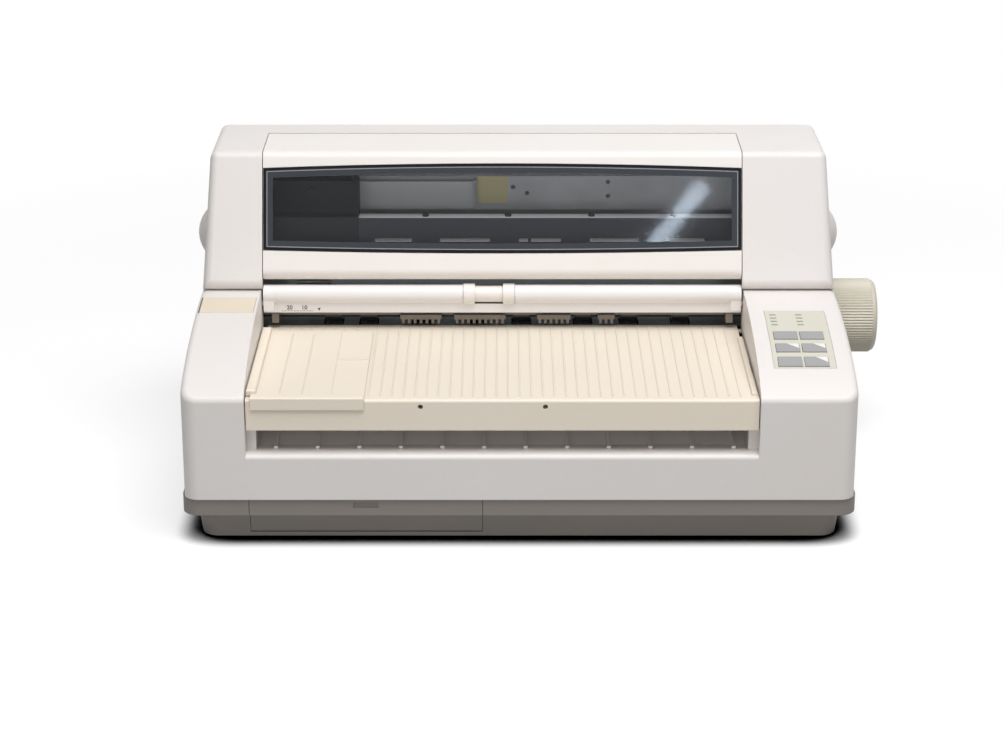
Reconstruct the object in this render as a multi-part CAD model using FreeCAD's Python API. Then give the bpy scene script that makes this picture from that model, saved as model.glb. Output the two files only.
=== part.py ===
import FreeCAD, Part
import math
import os

Vec = FreeCAD.Vector

# Wide flat bed dot matrix printer.
# Millimetres. X runs along the carriage, minus Y is the front, Z is up and zero is the desk.
# Everything is drawn about the middle of the cases. The last lines move the whole printer so that
# the origin is the middle of the bottom of its outer box, knob and side caps included.

# Whole machine
body_width = 600.0
body_depth = 400.0
body_height = 300.0
front_lean = 20.0
rear_lean = 20.0
wall = 3.0
sheet_steel = 1.6
cut_overrun = 5.0
moulding_gap = 0.8
seat_gap = 0.3
shaft_fit = 0.05
screw_head_radius = 3.2
screw_head_height = 1.8

# Base moulding
base_height = 42.4
base_lip_height = 15.9
base_lip_overhang = 2.0
base_lip_setback = 2.0
base_skirt_inset_top = 10.5
base_skirt_inset_bottom = 13.5
base_corner_radius = 16.0
foot_radius = 13.0
foot_proud = 2.0
foot_recess = 2.0
foot_inset = 52.0
base_door_width = 209.3
base_door_left = 58.15
base_door_foot = 6.0
door_notch_width = 22.0
door_notch_height = 5.5
door_notch_depth = 1.8
door_notch_drop = 3.4
door_pin_radius = 0.9
door_pin_length = 6.0
door_pin_height = 2.6
door_bottom_gap = 1.1

# Lower case with its two wings
case_corner_radius = 14.0
case_top_z = 175.0
wing_front_z = 137.7
wing_edge_radius = 6.0
wing_shoulder_share = 0.25
wing_shoulder_power = 8.0
wing_slope_power = 1.8
wing_curve_steps = 14
left_wing_width = 56.9
right_wing_width = 87.1
sill_z = 85.0
sill_depth = 27.0
sill_edge_radius = 4.0
sill_post_width = 8.7
sill_post_length = 12.0
sill_post_height = 20.0
exit_height = 22.0
exit_side_margin = 8.0
vent_count = 14
vent_width = 3.0
vent_pitch = 8.0
vent_height = 34.0
vent_bottom_z = 60.0

# Upper case, the tower. It keeps its depth, and the table and wings in front take up the rest.
# Each name ending in back is a distance behind the tower's front foot.
tower_rear_step = 12.5
tower_depth = 199.0
tower_side_taper = 7.5
tower_foot_inset = 1.5
tower_edge_radius = 8.0
tower_flange_depth = 7.7
tower_foot_radius = 9.0
tower_foot_lip = 4.0
side_cap_radius = 24.0
side_cap_height = 12.5
side_cap_rim = 2.0
side_cap_back = 83.5
side_cap_rise = 12.5
side_cap_peg_radius = 4.0
side_cap_peg_length = 6.0

# Front cover and its window
cover_gap = 0.7
cover_side_inset = 2.0
cover_bottom_rise = 8.9
cover_bottom_radius = 9.0
cover_bottom_depth = 15.0
cover_rib_depth = 11.0
cover_pivot_back = 113.0
cover_bead_radius = 3.5
cover_pin_radius = 1.6
cover_pin_length = 5.0
cover_pocket_length = 9.0
window_foot_end = 30.6
window_foot_middle = 27.7
window_head_end = 15.0
window_head_middle = 10.7
window_thickness = 2.0
window_border = 9.0
window_fit = 0.2
window_corner = 4.0

# Paper guide bar above the table
bar_roll_radius = 8.75
bar_roll_drop = 4.6
bar_back = 11.5
bar_flange_thickness = 3.0
bar_flange_depth = 17.4
bar_flange_setback = 4.0
bar_end_gap = 1.8
bar_cap_width = 13.0
bar_cheek_reach = 7.5
bar_cheek_step = 3.0
bar_cheek_lift = 2.4
bar_pin_radius = 2.5
bar_pin_drop = 9.4
bar_pin_length = 4.8
bar_handle_width = 48.5
bar_handle_share = 0.4723
bar_handle_ear = 11.0
bar_bracket_width = 6.5
bar_bracket_inset = 7.0
bar_bracket_reach = 14.0
bar_bracket_height = 9.5
bar_bracket_gap = 2.0
bar_handle_proud = 1.2
bar_handle_neck = 2.2

# Paper table and its sliding edge guide
paper_z = 135.7
table_thickness = 3.0
table_front_setback = 5.3
table_back = 21.5
table_apron_depth = 28.9
table_edge_radius = 3.0
table_rib_width = 1.2
table_rib_height = 0.6
table_rib_pitch = 10.3
table_rib_margin = 5.2
table_rib_front_margin = 9.0
table_fence_width = 7.0
table_fence_top_width = 4.2
table_fence_height = 2.2
table_hole_radius = 2.25
table_hole_drop = 6.7
table_hole_shares = (0.3407, 0.5838)
table_notch_depth = 4.0
table_notch_length = 30.0
table_notch_share = 0.4775
table_rear_step = 3.0
table_rear_length = 40.0
table_pin_radius = 2.0
table_pin_back = 15.5
table_pin_drop = 4.5
table_pin_boss = 3.6
guide_width = 105.0
guide_thickness = 1.6
guide_rear_gap = 2.5
guide_fence_width = 9.0
guide_fence_height = 4.0
guide_groove_width = 1.6
guide_groove_depth = 0.6
guide_groove_near_share = 0.28
guide_groove_far_share = 0.47
guide_step_share = 0.72
guide_step_depth = 0.7
guide_bar_share = 0.45
guide_bar_length = 2.5
guide_lip_drop = 9.0
guide_lip_inset = 10.0

# Front chute under the table
chute_rear_gap = 11.5
chute_thickness = 2.5
chute_rise = 12.0
chute_rib_count = 12
chute_rib_left_margin = 26.0
chute_rib_right_margin = 21.35
chute_rib_width = 2.0
chute_rib_height = 2.6
chute_rib_nose = 9.0
chute_tab_width = 20.0
chute_tab_height = 4.0

# Control panel on the right wing
sheet_left_margin = 14.1
sheet_right_margin = 17.0
sheet_length = 106.0
sheet_centre_share = 0.4722
sheet_thickness = 1.0
key_columns = 2
key_margin = 4.5
key_width = 21.5
key_gap_x = 2.3
key_length = 14.0
key_pitch = 22.3
key_first_back = 45.0
key_proud = 0.9
key_depth = 3.6
key_fit = 0.3
key_flange = 0.8
key_flange_thickness = 1.0
key_rows = 3
lamp_rows = 4
lamp_width = 6.0
lamp_length = 2.2
lamp_proud = 0.3
lamp_first_back = 8.0
lamp_pitch = 7.0
board_thickness = 1.6
board_drop = 9.0
board_margin = 4.0
plate_left_margin = 4.0
plate_right_margin = 2.4
plate_rear_gap = 13.5
plate_length = 37.0
plate_thickness = 1.0

# Chassis
chassis_z = 8.0
frame_left_gap = 14.9
frame_right_gap = 15.1
frame_front_back = 21.5
frame_rear_step = 38.0
frame_front_drop = 7.0
frame_top_share = 0.584
frame_case_gap = 7.6
frame_foot = 12.0
beam_back = 56.5
beam_depth = 14.0
beam_top_share = 0.456
beam_bottom_share = 0.168
beam_slot_height_share = 0.28
beam_slot_height = 3.0
beam_slot_shares = (
    (0.2484, 0.3214), (0.3768, 0.4755), (0.5327, 0.5506), (0.5564, 0.6156), (0.6730, 0.7698), (0.8251, 0.9021)
)
beam_screw_shares = (0.3486, 0.5111, 0.6755, 0.8381)
back_plate_back = 133.5
back_plate_bottom_share = 0.344
back_plate_top_share = 0.616
back_plate_lip = 10.0
back_plate_hole_radius = 2.2
back_plate_hole_shares = ((0.5214, 0.676), (0.5498, 0.494), (0.7136, 0.824), (0.7140, 0.406))

# Paper path: platen, feed rollers and pinch rollers
platen_back = 87.5
platen_radius = 12.0
platen_left_gap = 32.0
platen_right_gap = 30.0
platen_shaft_radius = 4.0
feed_back = 35.5
feed_radius = 9.0
feed_shaft_radius = 3.0
feed_roller_width = 16.0
feed_roller_shares = (0.1671, 0.2364, 0.3412, 0.4498, 0.5370, 0.6584, 0.7490, 0.8510)
pinch_radius = 5.5
pinch_shaft_radius = 2.0
paper_gap = 0.4
bed_thickness = 1.2
bed_slot_margin = 1.5
bed_table_gap = 2.5
bush_length = 7.0
bush_wall = 3.0
bush_flange = 1.2
bush_flange_length = 1.2
comb_shares = ((0.2994, 0.3807), (0.4053, 0.5062), (0.5679, 0.6337), (0.6872, 0.7202))
comb_back = 17.5
comb_thickness = 3.0
comb_height = 7.0
comb_tooth_pitch = 5.0
comb_tooth_width = 2.6
comb_tooth_height = 3.0
comb_bar_height = 6.0
comb_bar_depth = 2.0

# Drive gears, outside the right side frame
gear_module = 1.5
gear_width = 6.0
gear_gap = 2.0
platen_teeth = 24
feed_teeth = 24
pinion_teeth = 10
pinion_direction = -62.0
gear_addendum_share = 0.9
gear_dedendum_share = 1.15
gear_root_share = 0.66
gear_pitch_share = 0.47
gear_tip_share = 0.24
gear_hub_wall = 2.5
gear_hub_length = 1.5
motor_radius = 16.0
motor_length = 25.0
motor_shaft_radius = 1.5
motor_boss_radius = 5.0
motor_boss_length = 1.2

# Platen knob
knob_radius = 36.0
knob_length = 48.0
knob_edge = 5.0
knob_rib_count = 80
knob_rib_depth = 0.9
knob_case_gap = 1.2
knob_collar_radius = 9.0
knob_bore_depth = 30.0
knob_hole_clearance = 2.0
knob_recess_radius = 27.0
knob_recess_depth = 3.0

# Carriage, print head, ribbon and carriage drive
carriage_park_gap = 15.0
carriage_width = 89.0
rod_radius = 6.0
rod_back = 109.5
rod_rise = 7.0
carriage_back = 77.5
carriage_depth = 44.0
carriage_drop = 5.0
carriage_top_share = 0.216
head_width = 34.0
head_back = 76.0
head_depth = 23.0
head_fin_count = 7
head_fin_thickness = 1.2
head_fin_pitch = 3.6
head_fin_proud = 5.0
head_nose_width = 12.0
head_nose_depth = 6.0
head_nose_clearance = 1.2
head_nose_height = 10.0
cartridge_bottom_share = 0.224
cartridge_top_share = 0.712
cartridge_back = 73.5
cartridge_depth = 38.0
cartridge_corner = 9.0
cartridge_lip = 2.0
cartridge_knob_radius = 7.0
cartridge_knob_height = 5.0
pulley_radius = 8.5
pulley_width = 7.0
pulley_flange = 1.5
pulley_flange_width = 1.0
belt_back = 128.0
belt_width = 5.5
belt_thickness = 1.3
belt_fit = 0.1
drive_pulley_gap = 22.0
idler_pulley_gap = 20.0
clamp_height = 5.0
carriage_motor_radius = 19.0
carriage_motor_length = 30.0
carriage_motor_shaft = 10.0
cable_height = 27.0
cable_thickness = 0.6
cable_end_share = 0.4465

# Electrics in the base
supply_frame_gap = 44.0
supply_width = 150.0
supply_depth = 96.0
supply_height = 44.0
supply_slot_count = 9
supply_slot_pitch = 12.0
supply_slot_width = 4.0
main_board_supply_gap = 34.0
main_board_frame_gap = 38.0
main_board_depth = 130.0
board_standoff = 6.0
chip_height = 2.5
chip_places_share = ((0.1, 0.15, 0.16, 0.2), (0.4, 0.2, 0.14, 0.24), (0.4, 0.62, 0.22, 0.12),
                     (0.74, 0.5, 0.12, 0.3))
inlet_place_share = 0.1833
inlet_width = 27.0
inlet_height = 20.0
inlet_depth = 22.0
inlet_z = 66.0
inlet_wall = 2.0
inlet_flange = 4.0
inlet_pin_width = 2.0
inlet_pin_height = 5.0
inlet_pin_spacing = 7.0
switch_place_share = 0.25
switch_width = 13.0
switch_height = 20.0
switch_bezel = 2.0
switch_tilt = 14.0
switch_depth = 8.0
port_place_share = 0.7
port_width = 62.0
port_height = 15.0
port_depth = 14.0
port_tongue_width = 46.0
port_tongue_height = 4.0
port_clip_thickness = 1.6

# Outside limits
half_turn = 180.0
quarter_turn = half_turn / 2
front_y = -body_depth / 2
rear_y = body_depth / 2
case_left_x = -body_width / 2
case_right_x = body_width / 2
lip_bottom_z = base_height - base_lip_height
base_door_left_x = case_left_x + base_door_left
base_door_right_x = base_door_left_x + base_door_width
bay_left_x = case_left_x + left_wing_width
bay_right_x = case_right_x - right_wing_width

# The tower and what hangs in it
tower_height = body_height - case_top_z
lean_run = math.tan(math.radians(front_lean))
lean_stretch = 1 / math.cos(math.radians(front_lean))
rear_run = math.tan(math.radians(rear_lean))
rear_stretch = 1 / math.cos(math.radians(rear_lean))
tower_rear_foot_y = rear_y - tower_rear_step
tower_foot_y = tower_rear_foot_y - tower_depth
curl_stretch = 1 / math.tan(math.radians((quarter_turn - front_lean) / 2))
tower_lip_y = tower_foot_y + tower_foot_radius * curl_stretch + tower_foot_lip
top_front_y = tower_foot_y + tower_height * lean_run
side_cap_y = tower_foot_y + side_cap_back
side_cap_z = case_top_z + side_cap_rise + side_cap_radius
cover_left_x = bay_left_x + cover_side_inset
cover_right_x = bay_right_x - cover_side_inset
cover_bottom_z = case_top_z + cover_bottom_rise
cover_pivot_y = tower_foot_y + cover_pivot_back
cover_pivot_z = body_height - cover_bead_radius
window_foot = cover_bottom_rise * lean_stretch
window_head = tower_height * lean_stretch
frame_left_x = bay_left_x - frame_left_gap
frame_right_x = bay_right_x + frame_right_gap
frame_front_y = tower_foot_y + frame_front_back
frame_rear_y = rear_y - frame_rear_step
frame_front_top_z = case_top_z - frame_front_drop
frame_top_z = case_top_z + tower_height * frame_top_share
beam_front_y = tower_foot_y + beam_back
beam_top_z = case_top_z + tower_height * beam_top_share
beam_bottom_z = case_top_z + tower_height * beam_bottom_share
beam_slot_z = case_top_z + tower_height * beam_slot_height_share
back_plate_y = tower_foot_y + back_plate_back
back_plate_bottom_z = case_top_z + tower_height * back_plate_bottom_share
back_plate_top_z = case_top_z + tower_height * back_plate_top_share

# The guide bar, the paper path and the table
bar_y = tower_foot_y + bar_back
bar_roll_z = case_top_z - bar_roll_drop
bar_pin_z = bar_roll_z - bar_pin_drop
bar_flange_y = bar_y - bar_flange_setback
bar_flange_bottom_z = bar_roll_z - bar_flange_depth
bar_left_x = bay_left_x + bar_end_gap
bar_right_x = bay_right_x - bar_end_gap
bar_handle_left = bay_left_x + (bay_right_x - bay_left_x) * bar_handle_share - bar_handle_width / 2
bar_handle_right = bar_handle_left + bar_handle_width
platen_y = tower_foot_y + platen_back
platen_z = paper_z - platen_radius
platen_left_x = frame_left_x + platen_left_gap
platen_right_x = frame_right_x - platen_right_gap
feed_y = tower_foot_y + feed_back
feed_z = paper_z - feed_radius
comb_y = tower_foot_y + comb_back
gear_left_x = frame_right_x + sheet_steel + gear_gap
table_left_x = bay_left_x + moulding_gap
table_right_x = bay_right_x - moulding_gap
table_front_y = front_y + table_front_setback
table_rear_y = tower_foot_y + table_back
table_apron_bottom_z = paper_z - table_apron_depth
table_notch_y = front_y + (tower_foot_y - front_y) * table_notch_share
bed_front_y = table_rear_y + bed_table_gap
guide_rear_y = tower_foot_y - guide_rear_gap

# The wings' sheet, keys, lamps and plate
sheet_left_x = bay_right_x + sheet_left_margin
sheet_right_x = case_right_x - sheet_right_margin
sheet_rear_y = front_y + (tower_foot_y - front_y) * sheet_centre_share + sheet_length / 2
sheet_front_y = sheet_rear_y - sheet_length
key_left_x = sheet_left_x + key_margin
key_first_y = sheet_rear_y - key_first_back
lamp_first_y = sheet_rear_y - lamp_first_back
plate_left_x = case_left_x + plate_left_margin
plate_right_x = bay_left_x - plate_right_margin
plate_rear_y = tower_foot_y - plate_rear_gap
plate_front_y = plate_rear_y - plate_length

# The carriage and its drive
rod_y = tower_foot_y + rod_back
rod_z = case_top_z + rod_rise
carriage_left_x = frame_left_x + carriage_park_gap
carriage_right_x = carriage_left_x + carriage_width
carriage_mid_x = (carriage_left_x + carriage_right_x) / 2
carriage_front_y = tower_foot_y + carriage_back
carriage_rear_y = carriage_front_y + carriage_depth
carriage_bottom_z = case_top_z - carriage_drop
carriage_top_z = case_top_z + tower_height * carriage_top_share
head_front_y = tower_foot_y + head_back
head_rear_y = head_front_y + head_depth
cartridge_bottom_z = case_top_z + tower_height * cartridge_bottom_share
cartridge_top_z = case_top_z + tower_height * cartridge_top_share
cartridge_front_y = tower_foot_y + cartridge_back
cartridge_rear_y = cartridge_front_y + cartridge_depth
belt_y = tower_foot_y + belt_back
belt_z = rod_z
drive_pulley_x = frame_right_x - drive_pulley_gap
idler_pulley_x = frame_left_x + idler_pulley_gap
cable_z = back_plate_top_z - cable_height

# Electrics
supply_left_x = frame_left_x + supply_frame_gap
main_board_left_x = supply_left_x + supply_width + main_board_supply_gap
main_board_width = frame_right_x - main_board_frame_gap - main_board_left_x
inlet_x = case_left_x + body_width * inlet_place_share
switch_x = case_left_x + body_width * switch_place_share
port_x = case_left_x + body_width * port_place_share


def across_frames(share):
    """The x place at a share of the way from the left side frame to the right one."""
    return frame_left_x + (frame_right_x - frame_left_x) * share


def block(x0, x1, y0, y1, z0, z1):
    """A plain block between two corners."""
    return Part.makeBox(x1 - x0, y1 - y0, z1 - z0, Vec(x0, y0, z0))


def face_of(points):
    return Part.Face(Part.makePolygon(points + points[:1]))


def prism_x(outline, x0, x1):
    """An outline of (y, z) pairs drawn from x0 to x1."""
    return face_of([Vec(x0, y, z) for y, z in outline]).extrude(Vec(x1 - x0, 0, 0))


def prism_y(outline, y0, y1):
    """An outline of (x, z) pairs drawn from y0 to y1."""
    return face_of([Vec(x, y0, z) for x, z in outline]).extrude(Vec(0, y1 - y0, 0))


def rod_along_x(x0, x1, y, z, radius):
    return Part.makeCylinder(radius, x1 - x0, Vec(x0, y, z), Vec(1, 0, 0))


def rod_along_y(y0, y1, x, z, radius):
    return Part.makeCylinder(radius, y1 - y0, Vec(x, y0, z), Vec(0, 1, 0))


def rod_along_z(z0, z1, x, y, radius):
    return Part.makeCylinder(radius, z1 - z0, Vec(x, y, z0))


def ring_along_x(x0, x1, y, z, outer, inner):
    return rod_along_x(x0, x1, y, z, outer).cut(rod_along_x(x0, x1, y, z, inner))


def rounded(solid, radius, wanted):
    """The solid with a fillet on each edge whose box passes the test."""
    edges = [edge for edge in solid.Edges if wanted(edge.BoundBox)]
    return solid.makeFillet(radius, edges)


def joined(solids):
    """Several touching solids as one."""
    return solids[0].multiFuse(solids[1:]).removeSplitter()


def without(solid, tools):
    return solid.cut(Part.makeCompound(tools))


def plan_wire(left, right, front, rear, radius, z):
    """A level rectangle with round corners."""
    near_left = Vec(left + radius, front + radius, z)
    near_right = Vec(right - radius, front + radius, z)
    far_right = Vec(right - radius, rear - radius, z)
    far_left = Vec(left + radius, rear - radius, z)
    up = Vec(0, 0, 1)
    arcs = []
    for index, centre in enumerate((far_right, far_left, near_left, near_right)):
        start = index * quarter_turn
        arcs.append(Part.makeCircle(radius, centre, up, start, start + quarter_turn))
    edges = []
    for index, arc in enumerate(arcs):
        following = arcs[(index + 1) % len(arcs)]
        edges.append(arc)
        edges.append(Part.makeLine(arc.lastVertex().Point, following.firstVertex().Point))
    return Part.Wire(Part.__sortEdges__(edges))


def plan_block(left, right, front, rear, radius, z0, z1):
    wire = plan_wire(left, right, front, rear, radius, z0)
    return Part.Face(wire).extrude(Vec(0, 0, z1 - z0))


def leaning(solid):
    """Turns a solid drawn on the plane y = 0, with z up the slope, onto the tower's front face."""
    turned = solid.copy()
    turned.rotate(Vec(0, 0, 0), Vec(1, 0, 0), -front_lean)
    turned.translate(Vec(0, tower_foot_y, case_top_z))
    return turned


def wing_height(y):
    """The height of the wings' top, a shoulder that eases into a gentle slope."""
    share = min(max((y - front_y) / (tower_foot_y - front_y), 0), 1)
    shoulder = 1 - (1 - share) ** wing_shoulder_power
    slope = 1 - (1 - share) ** wing_slope_power
    rise = wing_shoulder_share * shoulder + (1 - wing_shoulder_share) * slope
    return wing_front_z + (case_top_z - wing_front_z) * rise


def wing_strip(x0, x1, y_front, y_rear, low, high, steps):
    """A strip that follows the wing's top, from low to high above its surface."""
    places = [y_front + (y_rear - y_front) * step / steps for step in range(steps + 1)]
    outline = [(y, wing_height(y) + low) for y in places]
    outline += [(y, wing_height(y) + high) for y in reversed(places)]
    return prism_x(outline, x0, x1)


def gear_axis(start, direction, distance):
    """The (y, z) place at a distance from another, with the direction in degrees from plus Y."""
    angle = math.radians(direction)
    return start[0] + distance * math.cos(angle), start[1] + distance * math.sin(angle)


def gear(teeth, phase, y, z, x0, width):
    """A spur gear about X. One tooth points in the direction phase, in degrees from plus Y."""
    pitch_radius = gear_module * teeth / 2
    tip_radius = pitch_radius + gear_module * gear_addendum_share
    root_radius = pitch_radius - gear_module * gear_dedendum_share
    step = 2 * half_turn / teeth
    outline = []
    for index in range(teeth):
        middle = phase + index * step
        for radius, share in (
            (root_radius, -gear_root_share),
            (pitch_radius, -gear_pitch_share),
            (tip_radius, -gear_tip_share),
            (tip_radius, gear_tip_share),
            (pitch_radius, gear_pitch_share),
            (root_radius, gear_root_share),
        ):
            angle = math.radians(middle + share * step / 2)
            outline.append((y + radius * math.cos(angle), z + radius * math.sin(angle)))
    return prism_x(outline, x0, x0 + width)


def meshed_phase(phase, teeth, mate_teeth, direction):
    """The phase that puts a mate's tooth gap on the tooth line of the gear it meets."""
    carried = (phase - direction) * teeth / mate_teeth
    return direction + half_turn - carried + half_turn / mate_teeth


def base_form(inset):
    """The outside of the base moulding, a tapered skirt under a wider lip."""
    radius = base_corner_radius - inset
    low = plan_wire(
        case_left_x + base_skirt_inset_bottom + inset,
        case_right_x - base_skirt_inset_bottom - inset,
        front_y + base_skirt_inset_bottom + inset,
        rear_y - base_skirt_inset_bottom - inset,
        radius,
        foot_proud + inset,
    )
    high = plan_wire(
        case_left_x + base_skirt_inset_top + inset,
        case_right_x - base_skirt_inset_top - inset,
        front_y + base_skirt_inset_top + inset,
        rear_y - base_skirt_inset_top - inset,
        radius,
        lip_bottom_z + inset,
    )
    skirt = Part.makeLoft([low, high], True, True)
    lip = plan_block(
        case_left_x - base_lip_overhang + inset,
        case_right_x + base_lip_overhang - inset,
        front_y + base_lip_setback + inset,
        rear_y - base_lip_setback - inset,
        radius,
        lip_bottom_z + inset,
        base_height + (cut_overrun if inset else 0),
    )
    return joined([skirt, lip])


def base_door_box(gap):
    return block(
        base_door_left_x + gap,
        base_door_right_x - gap,
        front_y - cut_overrun,
        front_y + base_skirt_inset_bottom + wall,
        base_door_foot + (door_bottom_gap if gap else 0),
        base_height + (0 if gap else cut_overrun),
    )


def door_hinge():
    """The (y, z) place of the base door's pins, in the middle of the skirt's wall."""
    z = base_door_foot + door_pin_height
    share = (z - foot_proud) / (lip_bottom_z - foot_proud)
    inset = base_skirt_inset_bottom + (base_skirt_inset_top - base_skirt_inset_bottom) * share
    return front_y + inset + wall / 2, z


def make_base_tray():
    shell = base_form(0).cut(base_form(wall))
    tray = shell.cut(base_door_box(0))
    y, z = door_hinge()
    posts = []
    holes = []
    for side, x in ((-1, base_door_left_x), (1, base_door_right_x)):
        near = x + side * seat_gap
        far = x + side * door_pin_length
        post = block(min(near, far), max(near, far), y, y + wall, foot_proud + wall, z + wall)
        hole = rod_along_x(min(x, far) - cut_overrun, max(x, far) + cut_overrun, y, z,
                           door_pin_radius + shaft_fit)
        posts.append(post)
        holes.append(hole)
    feet = [
        rod_along_z(foot_proud - cut_overrun, foot_proud + foot_recess, x, y, foot_radius)
        for x, y in foot_places()
    ]
    return without(joined([tray] + posts), feet + holes)


def foot_places():
    x = body_width / 2 - foot_inset
    y = body_depth / 2 - foot_inset
    return ((-x, -y), (x, -y), (-x, y), (x, y))


def make_feet():
    feet = []
    for x, y in foot_places():
        foot = rod_along_z(0, foot_proud + foot_recess, x, y, foot_radius - seat_gap)
        feet.append(foot)
    return feet


def make_base_door():
    shell = base_form(0).cut(base_form(wall))
    door = shell.common(base_door_box(moulding_gap / 2))
    notch_top = base_height - door_notch_drop
    notch_left_x = (base_door_left_x + base_door_right_x - door_notch_width) / 2
    notch = block(
        notch_left_x,
        notch_left_x + door_notch_width,
        front_y - cut_overrun,
        front_y + base_lip_setback + door_notch_depth,
        notch_top - door_notch_height,
        notch_top,
    )
    y, z = door_hinge()
    pins = []
    for side, x in ((-1, base_door_left_x), (1, base_door_right_x)):
        inner = x - side * door_pin_length
        tip = x + side * (door_pin_length - seat_gap)
        pins.append(rod_along_x(min(inner, tip), max(inner, tip), y, z, door_pin_radius))
    return joined([door.cut(notch)] + pins)


def case_outline(inset):
    """The side view of the lower case. With an inset it is the hollow, open above and below."""
    start = front_y + inset
    stride = (tower_foot_y - start) / wing_curve_steps
    places = [start + stride * step for step in range(wing_curve_steps + 1)]
    curve = [(y, wing_height(y) - inset) for y in places]
    top = case_top_z + (cut_overrun if inset else 0)
    bottom = base_height - (cut_overrun if inset else 0)
    tail = [(tower_lip_y, case_top_z - inset), (tower_lip_y, top)] if inset else []
    return curve, tail + [(rear_y - inset, top), (rear_y - inset, bottom), (start, bottom)]


def case_form(inset):
    curve, rest = case_outline(inset)
    x0 = case_left_x + inset
    spline = Part.BSplineCurve()
    spline.interpolate([Vec(x0, y, z) for y, z in curve])
    corners = [Vec(x0, *curve[-1])] + [Vec(x0, y, z) for y, z in rest] + [Vec(x0, *curve[0])]
    edges = [spline.toShape()]
    for start, end in zip(corners, corners[1:]):
        edges.append(Part.makeLine(start, end))
    side = Part.Face(Part.Wire(edges)).extrude(Vec(body_width - 2 * inset, 0, 0))
    plan = plan_block(
        case_left_x + inset,
        case_right_x - inset,
        front_y + inset,
        rear_y - inset,
        case_corner_radius - inset,
        base_height - cut_overrun,
        case_top_z + cut_overrun,
    )
    form = side.common(plan)
    if inset:
        return form
    level = wing_front_z - wing_edge_radius
    return rounded(form, wing_edge_radius, lambda box: on_wing_rim(box, level))


def on_wing_rim(box, level):
    """True for the top edges of the wings' front and sides."""
    long_cross_line = box.XLength > body_width / 2 and box.YLength < wall
    front_line = long_cross_line and box.YMax < front_y + wall and box.ZMin > level
    at_side = box.XLength < wall and min(abs(box.XMax), abs(box.XMin)) > body_width / 2 - wall
    side_line = at_side and box.YLength > case_corner_radius and box.ZMin > level and box.ZLength > wall
    reach = 2 * case_corner_radius
    corner = box.ZMin > level and box.XLength < reach and box.YMax < front_y + reach
    return front_line or (side_line and box.ZMax > case_top_z - wall) or (corner and not at_side)


def make_lower_case():
    outer = case_form(0)
    shell = outer.cut(case_form(wall))
    inner_rear_y = frame_front_y - wall
    inner_walls = [
        block(bay_left_x - wall, bay_left_x, front_y, tower_foot_y + wall, base_height, case_top_z),
        block(bay_right_x, bay_right_x + wall, front_y, tower_foot_y + wall, base_height, case_top_z),
        block(bay_left_x - wall, bay_left_x, tower_foot_y, inner_rear_y, paper_z - wall, case_top_z),
        block(bay_right_x, bay_right_x + wall, tower_foot_y, inner_rear_y, paper_z - wall, case_top_z),
    ]
    post_y = front_y + sill_depth - sill_post_length
    posts = [
        block(x, x + sill_post_width, post_y, post_y + sill_post_length, sill_z - wall,
              sill_z + sill_post_height)
        for x in (bay_left_x, bay_right_x - sill_post_width)
    ]
    walls = [inner_wall.common(outer) for inner_wall in inner_walls]
    bay = block(
        bay_left_x,
        bay_right_x,
        front_y - cut_overrun,
        tower_lip_y + cut_overrun,
        sill_z,
        case_top_z + cut_overrun,
    )
    sill = block(bay_left_x - wall, bay_right_x + wall, front_y, front_y + sill_depth, sill_z - wall, sill_z)
    case = joined([shell] + walls).cut(bay)
    case = joined([case, sill.common(outer)] + posts)
    case = rounded(case, sill_edge_radius, on_sill_front)
    return without(case, case_openings())


def on_sill_front(box):
    level = abs(box.ZMax - sill_z) < seat_gap and box.ZLength < seat_gap
    return level and box.YMax < front_y + seat_gap and box.XLength > body_width / 2


def case_openings():
    """Holes through the lower case: shafts, pins, keys, lamps, vents, sockets and the rear exit."""
    cuts = [
        rod_along_x(case_right_x - wall - cut_overrun, case_right_x + cut_overrun, platen_y, platen_z,
                    knob_collar_radius + knob_hole_clearance),
        block(platen_left_x - exit_side_margin, platen_right_x + exit_side_margin,
              rear_y - wall - cut_overrun, rear_y + cut_overrun, paper_z - exit_height / 2,
              paper_z + exit_height / 2),
        wing_strip(sheet_left_x, sheet_right_x, sheet_front_y, sheet_rear_y, -sheet_thickness, cut_overrun,
                   wing_curve_steps),
        wing_strip(plate_left_x, plate_right_x, plate_front_y, plate_rear_y, -plate_thickness, cut_overrun,
                   wing_curve_steps // 2),
    ]
    room = key_flange + key_fit
    for x0, x1, y0, y1 in key_places():
        cuts.append(wing_strip(x0 - room, x1 + room, y0 - room, y1 + room, -wall - cut_overrun, 0, 1))
    for x0, x1, y0, y1 in lamp_places():
        cuts.append(wing_strip(x0, x1, y0, y1, -wall - cut_overrun, 0, 1))
    for side, x in ((-1, bay_left_x), (1, bay_right_x)):
        cuts.append(rod_along_x(x - wall - cut_overrun, x + wall + cut_overrun, bar_y, bar_pin_z,
                                bar_pin_radius + shaft_fit))
        y, z = table_hinge()
        cuts.append(rod_along_x(x - wall - cut_overrun, x + wall + cut_overrun, y, z,
                                table_pin_radius + shaft_fit))
    vent_first_x = -((vent_count - 1) * vent_pitch + vent_width) / 2
    for index in range(vent_count):
        x = vent_first_x + index * vent_pitch
        cuts.append(block(x, x + vent_width, rear_y - wall - cut_overrun, rear_y + cut_overrun, vent_bottom_z,
                          vent_bottom_z + vent_height))
    for x, z, width, height in (
        (inlet_x, inlet_z, inlet_width, inlet_height),
        (switch_x, inlet_z, switch_width, switch_height),
        (port_x, inlet_z, port_width, port_height),
    ):
        cuts.append(block(x - width / 2, x + width / 2, rear_y - wall - cut_overrun, rear_y + cut_overrun,
                          z - height / 2, z + height / 2))
    return cuts


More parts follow.
